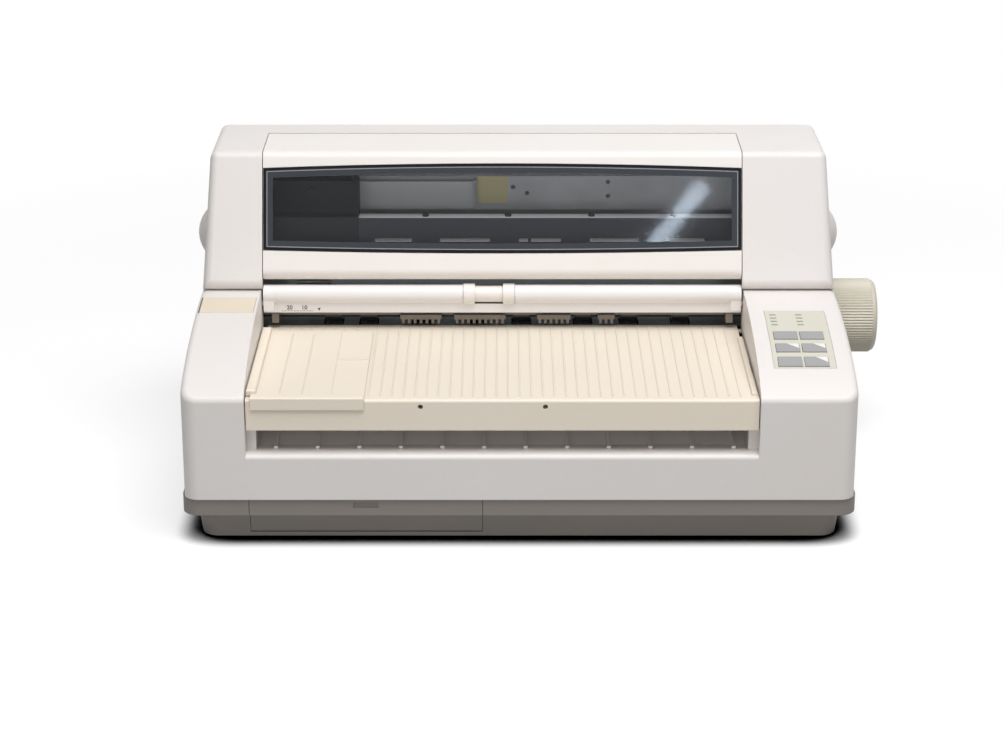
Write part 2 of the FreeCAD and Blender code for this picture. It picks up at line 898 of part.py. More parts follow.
def key_places():
    """Each key's x and y limits, left column then right column in each row from the rear."""
    places = []
    for row in range(key_rows):
        rear = key_first_y - row * key_pitch
        for column in range(key_columns):
            left = key_left_x + column * (key_width + key_gap_x)
            places.append((left, left + key_width, rear - key_length, rear))
    return places


def lamp_places():
    places = []
    for row in range(lamp_rows):
        rear = lamp_first_y - row * lamp_pitch
        for column in range(key_columns):
            left = key_left_x + column * (key_width + key_gap_x)
            places.append((left, left + lamp_width, rear - lamp_length, rear))
    return places


def table_hinge():
    return tower_foot_y + table_pin_back, paper_z - table_pin_drop


def tower_front_at(z, inset):
    """The y place of the tower's front face at a height, or of a face that lies deeper by the inset."""
    return tower_foot_y + (z - case_top_z) * lean_run + inset * lean_stretch


def tower_rear_at(z, inset):
    return tower_rear_foot_y - (z - case_top_z) * rear_run - inset * rear_stretch


def tower_form(inset, bottom):
    """The tower's outside, or its hollow with an inset, from a bottom level up."""
    top = body_height - inset
    side = prism_x(
        [
            (tower_front_at(bottom, inset), bottom),
            (tower_front_at(top, inset), top),
            (tower_rear_at(top, inset), top),
            (tower_rear_at(bottom, inset), bottom),
        ],
        case_left_x,
        case_right_x,
    )
    low_half = tower_side_x(bottom) - inset
    high_half = tower_side_x(top) - inset
    front = prism_y(
        [(-low_half, bottom), (-high_half, top), (high_half, top), (low_half, bottom)],
        front_y,
        rear_y,
    )
    radius = tower_edge_radius - inset
    return rounded(side.common(front), radius, lambda box: box.ZMax > case_top_z + 2 * wall)


def curled_foot(inset, level, radius):
    """The tower's form from a level up, its front foot rounded where the face turns in above the wings."""
    corner_y = tower_front_at(level, inset)
    reach = radius * curl_stretch
    centre_y = corner_y + reach
    centre_z = level + radius
    face_z = level + reach / lean_stretch
    outline = [
        (centre_y, level - cut_overrun),
        (corner_y - cut_overrun, level - cut_overrun),
        (corner_y - cut_overrun, face_z),
        (tower_front_at(face_z, inset), face_z),
        (centre_y, centre_z),
    ]
    corner = prism_x(outline, case_left_x, case_right_x)
    corner = corner.cut(rod_along_x(case_left_x, case_right_x, centre_y, centre_z, radius))
    return tower_form(inset, level).cut(corner)


def make_upper_case():
    outer = curled_foot(0, case_top_z, tower_foot_radius)
    hollow = curled_foot(wall, case_top_z + wall, tower_foot_radius - wall)
    open_foot = tower_form(wall, case_top_z - cut_overrun).common(
        block(case_left_x, case_right_x, tower_lip_y, rear_y, case_top_z - cut_overrun, case_top_z + 2 * wall)
    )
    shell = without(outer, [hollow, open_foot])
    gap = cover_gap
    mouth = block(
        cover_left_x - gap,
        cover_right_x + gap,
        front_y,
        cover_pivot_y + cover_bead_radius + moulding_gap,
        case_top_z - cut_overrun,
        body_height + cut_overrun,
    )
    flange_band = outer.cut(tower_form(tower_flange_depth, case_top_z - cut_overrun))
    flanges = []
    for x0, x1 in (
        (cover_left_x - gap - wall, cover_left_x - gap),
        (cover_right_x + gap, cover_right_x + gap + wall),
    ):
        strip = block(x0, x1, front_y, cover_pivot_y + cover_pocket_length, case_top_z, body_height)
        flanges.append(flange_band.common(strip))
    case = joined([shell.cut(mouth)] + flanges)
    pockets = []
    for x0, x1 in ((cover_left_x - gap - wall, cover_left_x), (cover_right_x, cover_right_x + gap + wall)):
        pockets.append(rod_along_x(x0 - cut_overrun, x1 + cut_overrun, cover_pivot_y, cover_pivot_z,
                                   cover_pin_radius + shaft_fit))
    for x in (-tower_side_x(side_cap_z) - cut_overrun, tower_side_x(side_cap_z) - wall - cut_overrun):
        pockets.append(rod_along_x(x, x + wall + 2 * cut_overrun, side_cap_y, side_cap_z,
                                   side_cap_peg_radius + seat_gap))
    return without(case, pockets)


def tower_side_x(z):
    """How far the tower's side stands out from the middle at a height."""
    return body_width / 2 - tower_foot_inset - tower_side_taper * (z - case_top_z) / tower_height


def make_side_cap(side):
    """A shallow dome on the tower's side, with the peg that holds it."""
    crown = side_cap_height - side_cap_rim
    ball = (side_cap_radius ** 2 + crown ** 2) / (2 * crown)
    dome = Part.makeSphere(ball, Vec(side_cap_height - ball, 0, 0), Vec(1, 0, 0))
    disc = Part.makeCylinder(side_cap_radius, side_cap_height, Vec(0, 0, 0), Vec(1, 0, 0))
    cap = dome.common(disc)
    peg = Part.makeCylinder(side_cap_peg_radius, side_cap_peg_length + side_cap_rim,
                            Vec(-side_cap_peg_length, 0, 0), Vec(1, 0, 0))
    cap = joined([cap, peg])
    if side < 0:
        cap = cap.mirror(Vec(0, 0, 0), Vec(1, 0, 0))
    lean = math.degrees(math.atan2(tower_side_taper, tower_height))
    cap.rotate(Vec(0, 0, 0), Vec(0, 1, 0), -side * lean)
    cap.translate(Vec(side * (tower_side_x(side_cap_z) + seat_gap / 2), side_cap_y, side_cap_z))
    return cap


def cover_outline():
    """The side view of the front cover, filled in behind its face."""
    low_front = tower_front_at(cover_bottom_z, 0)
    return [
        (low_front + cover_bottom_depth, cover_bottom_z),
        (low_front, cover_bottom_z),
        (top_front_y, body_height),
        (cover_pivot_y, body_height),
        (cover_pivot_y, body_height - wall),
    ]


def cover_form():
    form = prism_x(cover_outline(), cover_left_x, cover_right_x)
    form = rounded(form, tower_edge_radius, lambda box: box.ZMin > body_height - seat_gap
                   and box.YMax < top_front_y + wall and box.XLength > body_width / 2)
    return rounded(form, cover_bottom_radius, lambda box: box.ZMax < cover_bottom_z + seat_gap
                   and box.YMax < tower_foot_y + cover_bottom_depth / 2 and box.XLength > body_width / 2)


def cover_hollow(inset, x0, x1):
    low_z = cover_bottom_z + inset
    low_front = tower_front_at(low_z, inset)
    high_z = body_height - inset
    high_front = tower_front_at(high_z, inset)
    far = cover_pivot_y + body_depth / 2
    form = prism_x([(far, low_z), (low_front, low_z), (high_front, high_z), (far, high_z)], x0, x1)
    form = rounded(form, tower_edge_radius - wall, lambda box: box.ZMin > high_z - seat_gap
                   and box.YMax < high_front + wall and box.XLength > wall)
    return rounded(form, cover_bottom_radius - wall, lambda box: box.ZMax < low_z + seat_gap
                   and box.YMax < low_front + wall and box.XLength > wall)


def window_form(inset, depth_low, depth_high):
    """The arched window outline on the tower's face, from one depth behind it to another."""
    left = cover_left_x + inset
    right = cover_right_x - inset
    middle = (left + right) / 2
    low_end = window_foot + window_foot_end + inset
    low_middle = window_foot + window_foot_middle + inset
    high_end = window_head - window_head_end - inset
    high_middle = window_head - window_head_middle - inset
    outline = [
        Part.Arc(Vec(left, 0, low_end), Vec(middle, 0, low_middle), Vec(right, 0, low_end)).toShape(),
        Part.makeLine(Vec(right, 0, low_end), Vec(right, 0, high_end)),
        Part.Arc(Vec(right, 0, high_end), Vec(middle, 0, high_middle), Vec(left, 0, high_end)).toShape(),
        Part.makeLine(Vec(left, 0, high_end), Vec(left, 0, low_end)),
    ]
    pane = Part.Face(Part.Wire(outline)).extrude(Vec(0, depth_high - depth_low, 0))
    pane.translate(Vec(0, depth_low, 0))
    return pane


def make_front_cover():
    form = cover_form()
    shell = form.cut(cover_hollow(wall, cover_left_x - cut_overrun, cover_right_x + cut_overrun))
    rib_hollow = cover_hollow(cover_rib_depth, cover_left_x - cut_overrun, cover_right_x + cut_overrun)
    rib_band = form.cut(rib_hollow)
    ribs = []
    for x0 in (cover_left_x, cover_right_x - wall):
        ribs.append(rib_band.common(block(x0, x0 + wall, front_y, cover_pivot_y - wall, 0, body_height)))
    bead = rod_along_x(cover_left_x, cover_right_x, cover_pivot_y, cover_pivot_z, cover_bead_radius)
    pins = rod_along_x(cover_left_x - cover_pin_length, cover_right_x + cover_pin_length, cover_pivot_y,
                       cover_pivot_z, cover_pin_radius)
    cover = joined([shell] + ribs + [bead, pins])
    recess = leaning(window_form(0, -cut_overrun, window_thickness))
    opening = leaning(window_form(window_border, -cut_overrun, wall + cut_overrun))
    return without(cover, [recess, opening])


def make_cover_window():
    pane = window_form(window_fit, 0, window_thickness)
    pane = rounded(pane, window_corner, lambda box: box.XLength < seat_gap and box.ZLength < seat_gap)
    return leaning(pane)


def make_paper_guide_bar():
    x0 = bar_left_x + bar_cap_width
    x1 = bar_right_x - bar_cap_width
    roll = rod_along_x(x0, x1, bar_y, bar_roll_z, bar_roll_radius)
    flange = block(x0, x1, bar_flange_y, bar_flange_y + bar_flange_thickness, bar_flange_bottom_z, bar_roll_z)
    handle_room = block(bar_handle_left - seat_gap, bar_handle_right + seat_gap, bar_y - 2 * bar_roll_radius,
                        bar_y + 2 * bar_roll_radius, bar_roll_z - bar_roll_radius,
                        bar_roll_z + 2 * bar_roll_radius)
    spine = rod_along_x(x0, x1, bar_y, bar_roll_z, bar_roll_radius - wall)
    return joined([joined([roll, flange]).cut(handle_room), spine])


def make_bar_handle():
    ear_left = ring_along_x(bar_handle_left, bar_handle_left + bar_handle_ear, bar_y, bar_roll_z,
                            bar_roll_radius + bar_handle_proud, bar_roll_radius - wall + seat_gap)
    ear_right = ring_along_x(bar_handle_right - bar_handle_ear, bar_handle_right, bar_y, bar_roll_z,
                             bar_roll_radius + bar_handle_proud, bar_roll_radius - wall + seat_gap)
    neck = ring_along_x(bar_handle_left + bar_handle_ear / 2, bar_handle_right - bar_handle_ear / 2, bar_y,
                        bar_roll_z, bar_roll_radius + bar_handle_proud - bar_handle_neck,
                        bar_roll_radius - wall + seat_gap)
    below = block(bar_handle_left, bar_handle_right, bar_y - 2 * bar_roll_radius, bar_y + 2 * bar_roll_radius,
                  bar_roll_z - 2 * bar_roll_radius, bar_roll_z - bar_roll_radius + seat_gap)
    return joined([ear_left, neck, ear_right]).cut(below)


def make_bar_caps():
    """The two end caps, each a roll end on a flat cheek with a stepped inner edge, and its pivot pin."""
    caps = []
    for side, x_end in ((-1, bar_left_x), (1, bar_right_x)):
        x_in = x_end - side * bar_cap_width
        x_step = x_in + side * bar_cheek_step
        roll = rod_along_x(min(x_end, x_in), max(x_end, x_in), bar_y, bar_roll_z, bar_roll_radius)
        back = block(min(x_end, x_in), max(x_end, x_in), bar_flange_y, bar_y + bar_flange_thickness,
                     bar_flange_bottom_z, bar_roll_z)
        cheek = block(min(x_end, x_step), max(x_end, x_step), bar_y - bar_cheek_reach, bar_y,
                      bar_flange_bottom_z + bar_cheek_lift, bar_roll_z)
        tip = x_end + side * (bar_pin_length - seat_gap)
        pin = rod_along_x(min(tip, x_in), max(tip, x_in), bar_y, bar_pin_z, bar_pin_radius)
        caps.append(joined([roll, back, cheek, pin]))
    return caps


def table_outline():
    return [
        (table_front_y, table_apron_bottom_z),
        (table_front_y, paper_z),
        (table_rear_y, paper_z),
        (table_rear_y, paper_z - table_thickness),
        (table_front_y + table_thickness, paper_z - table_thickness),
        (table_front_y + table_thickness, table_apron_bottom_z),
    ]


def make_paper_table():
    top = prism_x(table_outline(), table_left_x, table_right_x)
    top = rounded(top, table_edge_radius - seat_gap, lambda box: box.ZMin > paper_z - seat_gap
                  and box.YMax < table_front_y + seat_gap and box.XLength > body_width / 2)
    skirts = []
    for x0 in (table_left_x, table_right_x - table_thickness):
        skirts.append(block(x0, x0 + table_thickness, table_front_y, table_rear_y - table_rear_length,
                            table_apron_bottom_z, paper_z - table_thickness / 2))
    fence_left_x = table_right_x - table_fence_width
    fence_slope = (table_fence_width - table_fence_top_width) / 2
    fence = prism_y(
        [
            (fence_left_x, paper_z - table_thickness / 2),
            (fence_left_x + fence_slope, paper_z + table_fence_height),
            (table_right_x - fence_slope, paper_z + table_fence_height),
            (table_right_x, paper_z - table_thickness / 2),
        ],
        table_front_y + table_rib_front_margin,
        table_rear_y - table_rear_length,
    )
    ribs = []
    first_x = table_left_x + table_rib_margin
    for index in range(math.ceil((fence_left_x - table_rib_width - first_x) / table_rib_pitch)):
        x = first_x + index * table_rib_pitch
        ribs.append(block(x, x + table_rib_width, table_front_y + table_rib_front_margin,
                          table_rear_y - table_rear_step, paper_z - table_thickness / 2,
                          paper_z + table_rib_height))
    y, z = table_hinge()
    bosses = []
    for side, x in ((-1, table_left_x + table_rear_step), (1, table_right_x - table_rear_step)):
        inner = x - side * table_thickness
        bosses.append(rod_along_x(min(x, inner), max(x, inner), y, z, table_pin_boss))
        tip = x + side * (table_rear_step + moulding_gap + wall)
        bosses.append(rod_along_x(min(inner, tip), max(inner, tip), y, z, table_pin_radius))
    cuts = []
    for x, side in ((table_left_x, 1), (table_right_x, -1)):
        far = x + side * table_rear_step
        outside = x - side * cut_overrun
        cuts.append(block(min(outside, far), max(outside, far), table_rear_y - table_rear_length,
                          table_rear_y + cut_overrun, table_apron_bottom_z, paper_z + cut_overrun))
        far = x + side * table_notch_depth
        cuts.append(block(min(outside, far), max(outside, far), table_notch_y - table_notch_length / 2,
                          table_notch_y + table_notch_length / 2, table_apron_bottom_z - cut_overrun,
                          paper_z + cut_overrun))
    for share in table_hole_shares:
        x = table_left_x + (table_right_x - table_left_x) * share
        cuts.append(rod_along_y(table_front_y - cut_overrun, table_front_y + table_thickness + cut_overrun, x,
                                paper_z - table_hole_drop, table_hole_radius))
    plate = without(joined([top] + skirts), cuts)
    return joined([plate, fence] + ribs + bosses)


def make_edge_guide():
    """The sliding plate with its raised fence, two grooves and the lip that hooks over the table."""
    left = table_left_x
    right = left + guide_width
    low = paper_z + table_rib_height + seat_gap
    high = low + guide_thickness
    lip_front = table_front_y - seat_gap - guide_thickness
    lip_bottom = paper_z - guide_lip_drop
    side_view = [
        (guide_rear_y, low),
        (guide_rear_y, high),
        (lip_front, high),
        (lip_front, lip_bottom),
        (table_front_y - seat_gap, lip_bottom),
        (table_front_y - seat_gap, low),
    ]
    plate = prism_x(side_view, left + guide_fence_width / 2, right)
    plate = rounded(plate, guide_thickness, lambda box: box.ZMin > high - seat_gap
                    and box.YMax < lip_front + seat_gap and box.XLength > guide_fence_width)
    fence = block(left, left + guide_fence_width, lip_front + guide_lip_inset, guide_rear_y, low,
                  high + guide_fence_height)
    fence_top = high + guide_fence_height
    fence = rounded(fence, guide_fence_height / 2, lambda box: box.ZMin > fence_top - seat_gap)
    step_left = left + guide_width * guide_step_share
    cuts = [
        block(step_left, right + cut_overrun, lip_front + guide_lip_inset, guide_rear_y + cut_overrun,
              high - guide_step_depth, high + cut_overrun),
    ]
    for share in (guide_groove_near_share, guide_groove_far_share):
        x = left + guide_width * share
        cuts.append(block(x, x + guide_groove_width, lip_front + guide_lip_inset,
                          guide_rear_y - guide_lip_inset, high - guide_groove_depth, high + cut_overrun))
    bar_at = guide_rear_y + (lip_front - guide_rear_y) * guide_bar_share
    cross_bar = block(step_left - guide_step_depth, right, bar_at, bar_at + guide_bar_length, low, high)
    return joined([without(plate, cuts), fence, cross_bar])


def make_front_chute():
    """The dark ribbed ramp behind the sill, with tabs that stand on the case's inner walls."""
    start = front_y + sill_depth
    end = tower_foot_y - chute_rear_gap
    left = bay_left_x + seat_gap
    right = bay_right_x - seat_gap
    floor = prism_x(
        [
            (start + seat_gap, sill_z - chute_thickness),
            (start + seat_gap, sill_z),
            (end, sill_z + chute_rise),
            (end, sill_z + chute_rise - chute_thickness),
        ],
        left,
        right,
    )
    tabs = []
    for x0 in (left, right - chute_thickness):
        tabs.append(block(x0, x0 + chute_thickness, end - chute_tab_width, end, sill_z,
                          sill_z + chute_rise + chute_tab_height))
    ribs = []
    first_x = bay_left_x + chute_rib_left_margin
    pitch = (bay_right_x - chute_rib_right_margin - first_x) / (chute_rib_count - 1)
    for index in range(chute_rib_count):
        x = first_x + index * pitch
        nose = start - chute_rib_nose
        rib = prism_x(
            [
                (start + seat_gap, sill_z - chute_thickness / 2),
                (start + seat_gap, sill_z + seat_gap),
                (nose, sill_z + seat_gap),
                (nose, sill_z + chute_rib_height),
                (end, sill_z + chute_rise + chute_rib_height),
                (end, sill_z + chute_rise - chute_thickness / 2),
            ],
            x - chute_rib_width / 2,
            x + chute_rib_width / 2,
        )
        head = rod_along_z(sill_z + seat_gap, sill_z + chute_rib_height, x, nose, chute_rib_width)
        ribs += [rib, head]
    return joined([floor] + tabs + ribs)


def make_control_sheet():
    sheet = wing_strip(sheet_left_x + seat_gap, sheet_right_x - seat_gap, sheet_front_y + seat_gap,
                       sheet_rear_y - seat_gap, shaft_fit - sheet_thickness, 0, wing_curve_steps)
    cuts = []
    for x0, x1, y0, y1 in key_places():
        cuts.append(wing_strip(x0 - key_fit, x1 + key_fit, y0 - key_fit, y1 + key_fit, -wall, wall, 1))
    for x0, x1, y0, y1 in lamp_places():
        cuts.append(wing_strip(x0, x1, y0, y1, -wall, wall, 1))
    return without(sheet, cuts)


def make_key(place):
    x0, x1, y0, y1 = place
    cap = wing_strip(x0, x1, y0, y1, -key_depth - key_flange_thickness, key_proud, 1)
    flange = wing_strip(x0 - key_flange, x1 + key_flange, y0 - key_flange, y1 + key_flange,
                        -sheet_thickness - key_fit - key_flange_thickness, -sheet_thickness - key_fit, 1)
    return joined([cap, flange])


def make_lamps():
    lamps = []
    for x0, x1, y0, y1 in lamp_places():
        lamps.append(wing_strip(x0 + key_fit, x1 - key_fit, y0 + key_fit, y1 - key_fit, -board_drop,
                                lamp_proud, 1))
    return lamps


def make_control_board():
    return wing_strip(sheet_left_x, sheet_right_x, sheet_front_y + board_margin, sheet_rear_y - board_margin,
                      -board_drop - board_thickness, -board_drop, 1)


def make_blank_plate():
    return wing_strip(plate_left_x + seat_gap, plate_right_x - seat_gap, plate_front_y + seat_gap,
                      plate_rear_y - seat_gap, shaft_fit - plate_thickness, 0, wing_curve_steps // 2)


def make_chassis_plate():
    low = foot_proud + wall
    plate = block(frame_left_x - frame_foot, frame_right_x + frame_foot + sheet_steel,
                  frame_front_y - frame_foot, frame_rear_y + frame_foot, chassis_z, chassis_z + sheet_steel)
    posts = []
    for x in (frame_left_x / 2, frame_right_x / 2):
        for y in (frame_front_y, frame_rear_y):
            posts.append(rod_along_z(low, chassis_z, x, y, board_standoff))
    return joined([plate] + posts)


def frame_outline():
    return [
        (frame_front_y, chassis_z + sheet_steel),
        (frame_front_y, frame_front_top_z),
        (beam_front_y - wall, frame_top_z),
        (frame_rear_y, frame_top_z),
        (frame_rear_y, chassis_z + sheet_steel),
    ]


def rear_slope_room(x0, x1):
    """The space along the tower's rear wall that the side frames keep clear of."""
    inset = wall + frame_case_gap
    outline = [
        (tower_rear_at(case_top_z, inset), case_top_z),
        (tower_rear_at(body_height, inset), body_height),
        (rear_y, body_height),
        (rear_y, case_top_z),
    ]
    return prism_x(outline, x0, x1)


def make_side_frame(side):
    x0 = frame_left_x if side < 0 else frame_right_x
    plate = prism_x(frame_outline(), x0, x0 + sheet_steel)
    foot_x = x0 - frame_foot if side < 0 else x0
    foot = block(foot_x, foot_x + frame_foot + sheet_steel, frame_front_y, frame_rear_y,
                 chassis_z + sheet_steel, chassis_z + 2 * sheet_steel)
    low = x0 - cut_overrun
    high = x0 + sheet_steel + cut_overrun
    cuts = [
        rod_along_x(low, high, platen_y, platen_z, platen_shaft_radius + bush_wall),
        rod_along_x(low, high, feed_y, feed_z, feed_shaft_radius + bush_wall),
        rod_along_x(low, high, feed_y, pinch_z(), pinch_shaft_radius + shaft_fit),
        rod_along_x(low, high, rod_y, rod_z, rod_radius + shaft_fit),
        block(low, high, bed_rear_support_y() - wall, frame_rear_y + cut_overrun, paper_z - exit_height / 2,
              paper_z + exit_height / 2),
        rear_slope_room(low, high),
    ]
    if side > 0:
        y, z = pinion_place()
        cuts.append(rod_along_x(low, high, y, z, motor_boss_radius))
    frame = without(joined([plate, foot]), cuts)
    return joined([frame, make_idler_post()]) if side > 0 else frame


def bed_rear_support_y():
    return rod_y + 2 * rod_radius + wall


def pinch_z():
    return paper_z + paper_gap + pinch_radius


def pinion_place():
    distance = gear_module * (platen_teeth + pinion_teeth) / 2
    return gear_axis((platen_y, platen_z), pinion_direction, distance)


def idler_teeth():
    span = math.hypot(platen_y - feed_y, platen_z - feed_z)
    radius = (span - gear_module * (platen_teeth + feed_teeth) / 2) / 2
    return int(2 * radius / gear_module)


def feed_direction():
    return math.degrees(math.atan2(feed_z - platen_z, feed_y - platen_y))


def idler_place():
    span = math.hypot(platen_y - feed_y, platen_z - feed_z)
    near = gear_module * platen_teeth / 2
    far = gear_module * feed_teeth / 2
    return gear_axis((platen_y, platen_z), feed_direction(), near + (span - near - far) / 2)


def make_front_beam():
    """The pressed steel channel in front of the carriage, with slots and screw holes."""
    top = beam_top_z
    outline = [
        (beam_front_y, beam_bottom_z),
        (beam_front_y, top),
        (beam_front_y + beam_depth, top),
        (beam_front_y + beam_depth, top - sheet_steel),
        (beam_front_y + sheet_steel, top - sheet_steel),
        (beam_front_y + sheet_steel, beam_bottom_z),
    ]
    beam = prism_x(outline, frame_left_x + sheet_steel, frame_right_x)
    cuts = []
    for start, end in beam_slot_shares:
        cuts.append(block(across_frames(start), across_frames(end), beam_front_y - cut_overrun,
                          beam_front_y + cut_overrun, beam_slot_z - beam_slot_height / 2,
                          beam_slot_z + beam_slot_height / 2))
    return without(beam, cuts)


def make_beam_screws():
    screws = []
    for share in beam_screw_shares:
        y = beam_front_y + beam_depth / 2
        screws.append(rod_along_z(beam_top_z, beam_top_z + screw_head_height, across_frames(share), y,
                                  screw_head_radius))
    return screws


def make_back_plate():
    outline = [
        (back_plate_y, back_plate_bottom_z),
        (back_plate_y, back_plate_top_z),
        (back_plate_y + back_plate_lip, back_plate_top_z),
        (back_plate_y + back_plate_lip, back_plate_top_z - sheet_steel),
        (back_plate_y + sheet_steel, back_plate_top_z - sheet_steel),
        (back_plate_y + sheet_steel, back_plate_bottom_z),
    ]
    plate = prism_x(outline, frame_left_x + sheet_steel, frame_right_x)
    cuts = []
    height = back_plate_top_z - back_plate_bottom_z
    for along, up in back_plate_hole_shares:
        cuts.append(rod_along_y(back_plate_y - cut_overrun, back_plate_y + cut_overrun, across_frames(along),
                                back_plate_bottom_z + height * up, back_plate_hole_radius))
    return without(plate, cuts)


def make_paper_bed():
    """The steel bed behind the table, slotted for the platen and the feed rollers."""
    top = paper_z - paper_gap
    left = frame_left_x + sheet_steel
    right = frame_right_x
    bed = block(left, right, bed_front_y, rear_y - wall - seat_gap, top - bed_thickness, top)
    clear = platen_radius + bed_slot_margin
    cuts = [
        block(platen_left_x - bed_slot_margin, platen_right_x + bed_slot_margin, platen_y - clear,
              platen_y + clear, top - cut_overrun, top + cut_overrun),
    ]
    reach = feed_radius + bed_slot_margin
    half = feed_roller_width / 2 + bed_slot_margin
    for x in feed_roller_places():
        cuts.append(block(x - half, x + half, feed_y - reach, feed_y + reach, top - cut_overrun,
                          top + cut_overrun))
    return without(bed, cuts)


def feed_roller_places():
    return [across_frames(share) for share in feed_roller_shares]


def make_paper_combs():
    """Toothed paper hold downs and the bar's two brackets, on one thin rail between the side frames."""
    bottom = paper_z + comb_tooth_height
    shoulder = bottom + comb_height
    rail_y = frame_front_y + sheet_steel
    rail_rear = rail_y + comb_bar_depth
    rail = block(frame_left_x + sheet_steel, frame_right_x, rail_y, rail_rear, shoulder,
                 shoulder + comb_bar_height)
    combs = [rail]
    for start, end in comb_shares:
        x0 = across_frames(start)
        x1 = across_frames(end)
        combs.append(block(x0, x1, comb_y, rail_rear, shoulder - comb_thickness,
                           shoulder + comb_thickness / 2))
        count = int((x1 - x0) / comb_tooth_pitch)
        pitch = (x1 - x0) / count
        for index in range(count):
            x = x0 + index * pitch + (pitch - comb_tooth_width) / 2
            combs.append(block(x, x + comb_tooth_width, comb_y, comb_y + comb_thickness, bottom, shoulder))
    bracket_top = bar_flange_bottom_z - bar_bracket_gap
    for x in (bar_left_x + bar_bracket_inset, bar_right_x - bar_bracket_inset - bar_bracket_width):
        combs.append(block(x, x + bar_bracket_width, rail_rear - bar_bracket_reach, rail_rear,
                           bracket_top - bar_bracket_height, bracket_top))
    return joined(combs)


def make_bushes():
    """Flanged bushes for the platen and feed shafts, pressed into the side frames."""
    bushes = []
    for y, z, shaft in ((platen_y, platen_z, platen_shaft_radius), (feed_y, feed_z, feed_shaft_radius)):
        for side, x0 in ((-1, frame_left_x), (1, frame_right_x)):
            inner = x0 + sheet_steel if side < 0 else x0
            near = inner if side < 0 else inner - bush_flange_length
            body = rod_along_x(x0, x0 + sheet_steel, y, z, shaft + bush_wall - shaft_fit / 2)
            flange = rod_along_x(near, near + bush_flange_length, y, z, shaft + bush_wall + bush_flange)
            hole = rod_along_x(x0 - cut_overrun, x0 + bush_length + cut_overrun, y, z, shaft + shaft_fit)
            bushes.append(joined([body, flange]).cut(hole))
    return bushes


def make_platen_roller():
    return ring_along_x(platen_left_x, platen_right_x, platen_y, platen_z, platen_radius, platen_shaft_radius)


def knob_left_x():
    return case_right_x + knob_case_gap


def make_platen_shaft():
    return rod_along_x(frame_left_x - wall, knob_left_x() + knob_bore_depth, platen_y, platen_z,
                       platen_shaft_radius)


def gear_with_bore(teeth, phase, y, z, shaft_radius):
    """A gear with a hub against the bearing side, bored for its shaft."""
    wheel = gear(teeth, phase, y, z, gear_left_x, gear_width)
    hub = rod_along_x(gear_left_x - gear_hub_length, gear_left_x + gear_width + gear_hub_length, y, z,
                      shaft_radius + gear_hub_wall)
    bore = rod_along_x(gear_left_x - cut_overrun, gear_left_x + gear_width + cut_overrun, y, z, shaft_radius)
    return joined([wheel, hub]).cut(bore)


def gear_train():
    """Each gear's name, teeth, phase, place and shaft radius, all in mesh at rest."""
    towards_feed = feed_direction()
    pinion_phase = meshed_phase(0, platen_teeth, pinion_teeth, pinion_direction)
    idler_phase = meshed_phase(0, platen_teeth, idler_teeth(), towards_feed)
    feed_phase = meshed_phase(idler_phase, idler_teeth(), feed_teeth, towards_feed)
    return (
        ("platen_gear", platen_teeth, 0, (platen_y, platen_z), platen_shaft_radius),
        ("motor_pinion", pinion_teeth, pinion_phase, pinion_place(), motor_shaft_radius),
        ("idler_gear", idler_teeth(), idler_phase, idler_place(), motor_shaft_radius + shaft_fit),
        ("feed_gear", feed_teeth, feed_phase, (feed_y, feed_z), feed_shaft_radius),
    )


def make_platen_knob():
    """The ribbed hand knob: a moulded drum with a round front edge and a fluted rim."""
    x0 = knob_left_x()
    x1 = x0 + knob_length
    points = []
    count = 2 * knob_rib_count
    for index in range(count):
        radius = knob_radius if index % 2 else knob_radius - knob_rib_depth
        angle = 2 * math.pi * index / count
        points.append((platen_y + radius * math.cos(angle), platen_z + radius * math.sin(angle)))
    fluted = prism_x(points, x0, x1 - knob_edge)
    root = knob_radius - knob_rib_depth
    eighth = math.radians(quarter_turn / 2)
    edge_profile = [
        Part.makeLine(Vec(0, 0, 0), Vec(0, root, 0)),
        Part.Arc(
            Vec(0, root, 0),
            Vec(knob_edge * math.sin(eighth), root - knob_edge * (1 - math.cos(eighth)), 0),
            Vec(knob_edge, root - knob_edge, 0),
        ).toShape(),
        Part.makeLine(Vec(knob_edge, root - knob_edge, 0), Vec(knob_edge, 0, 0)),
        Part.makeLine(Vec(knob_edge, 0, 0), Vec(0, 0, 0)),
    ]
    rim = Part.Face(Part.Wire(edge_profile)).revolve(Vec(0, 0, 0), Vec(1, 0, 0), 2 * half_turn)
    rim.translate(Vec(x1 - knob_edge, platen_y, platen_z))
    dish = rod_along_x(x1 - knob_recess_depth, x1 + cut_overrun, platen_y, platen_z, knob_recess_radius)
    inside = ring_along_x(x0 - cut_overrun, x1 - knob_recess_depth - wall, platen_y, platen_z, root - wall,
                          knob_collar_radius)
    bore = rod_along_x(x0 - cut_overrun, x0 + knob_bore_depth, platen_y, platen_z, platen_shaft_radius)
    return without(joined([fluted, rim]), [dish, inside, bore])


def make_feed_shaft():
    return rod_along_x(frame_left_x - wall, gear_left_x + gear_width + wall, feed_y, feed_z,
                       feed_shaft_radius)


def make_feed_rollers():
    return [
        ring_along_x(x - feed_roller_width / 2, x + feed_roller_width / 2, feed_y, feed_z, feed_radius,
                     feed_shaft_radius)
        for x in feed_roller_places()
    ]


def make_pinch_rollers():
    shaft = rod_along_x(frame_left_x - wall, frame_right_x + sheet_steel + wall / 2, feed_y, pinch_z(),
                        pinch_shaft_radius)
    rollers = [
        rod_along_x(x - feed_roller_width / 2, x + feed_roller_width / 2, feed_y, pinch_z(), pinch_radius)
        for x in feed_roller_places()
    ]
    return joined([shaft] + rollers)


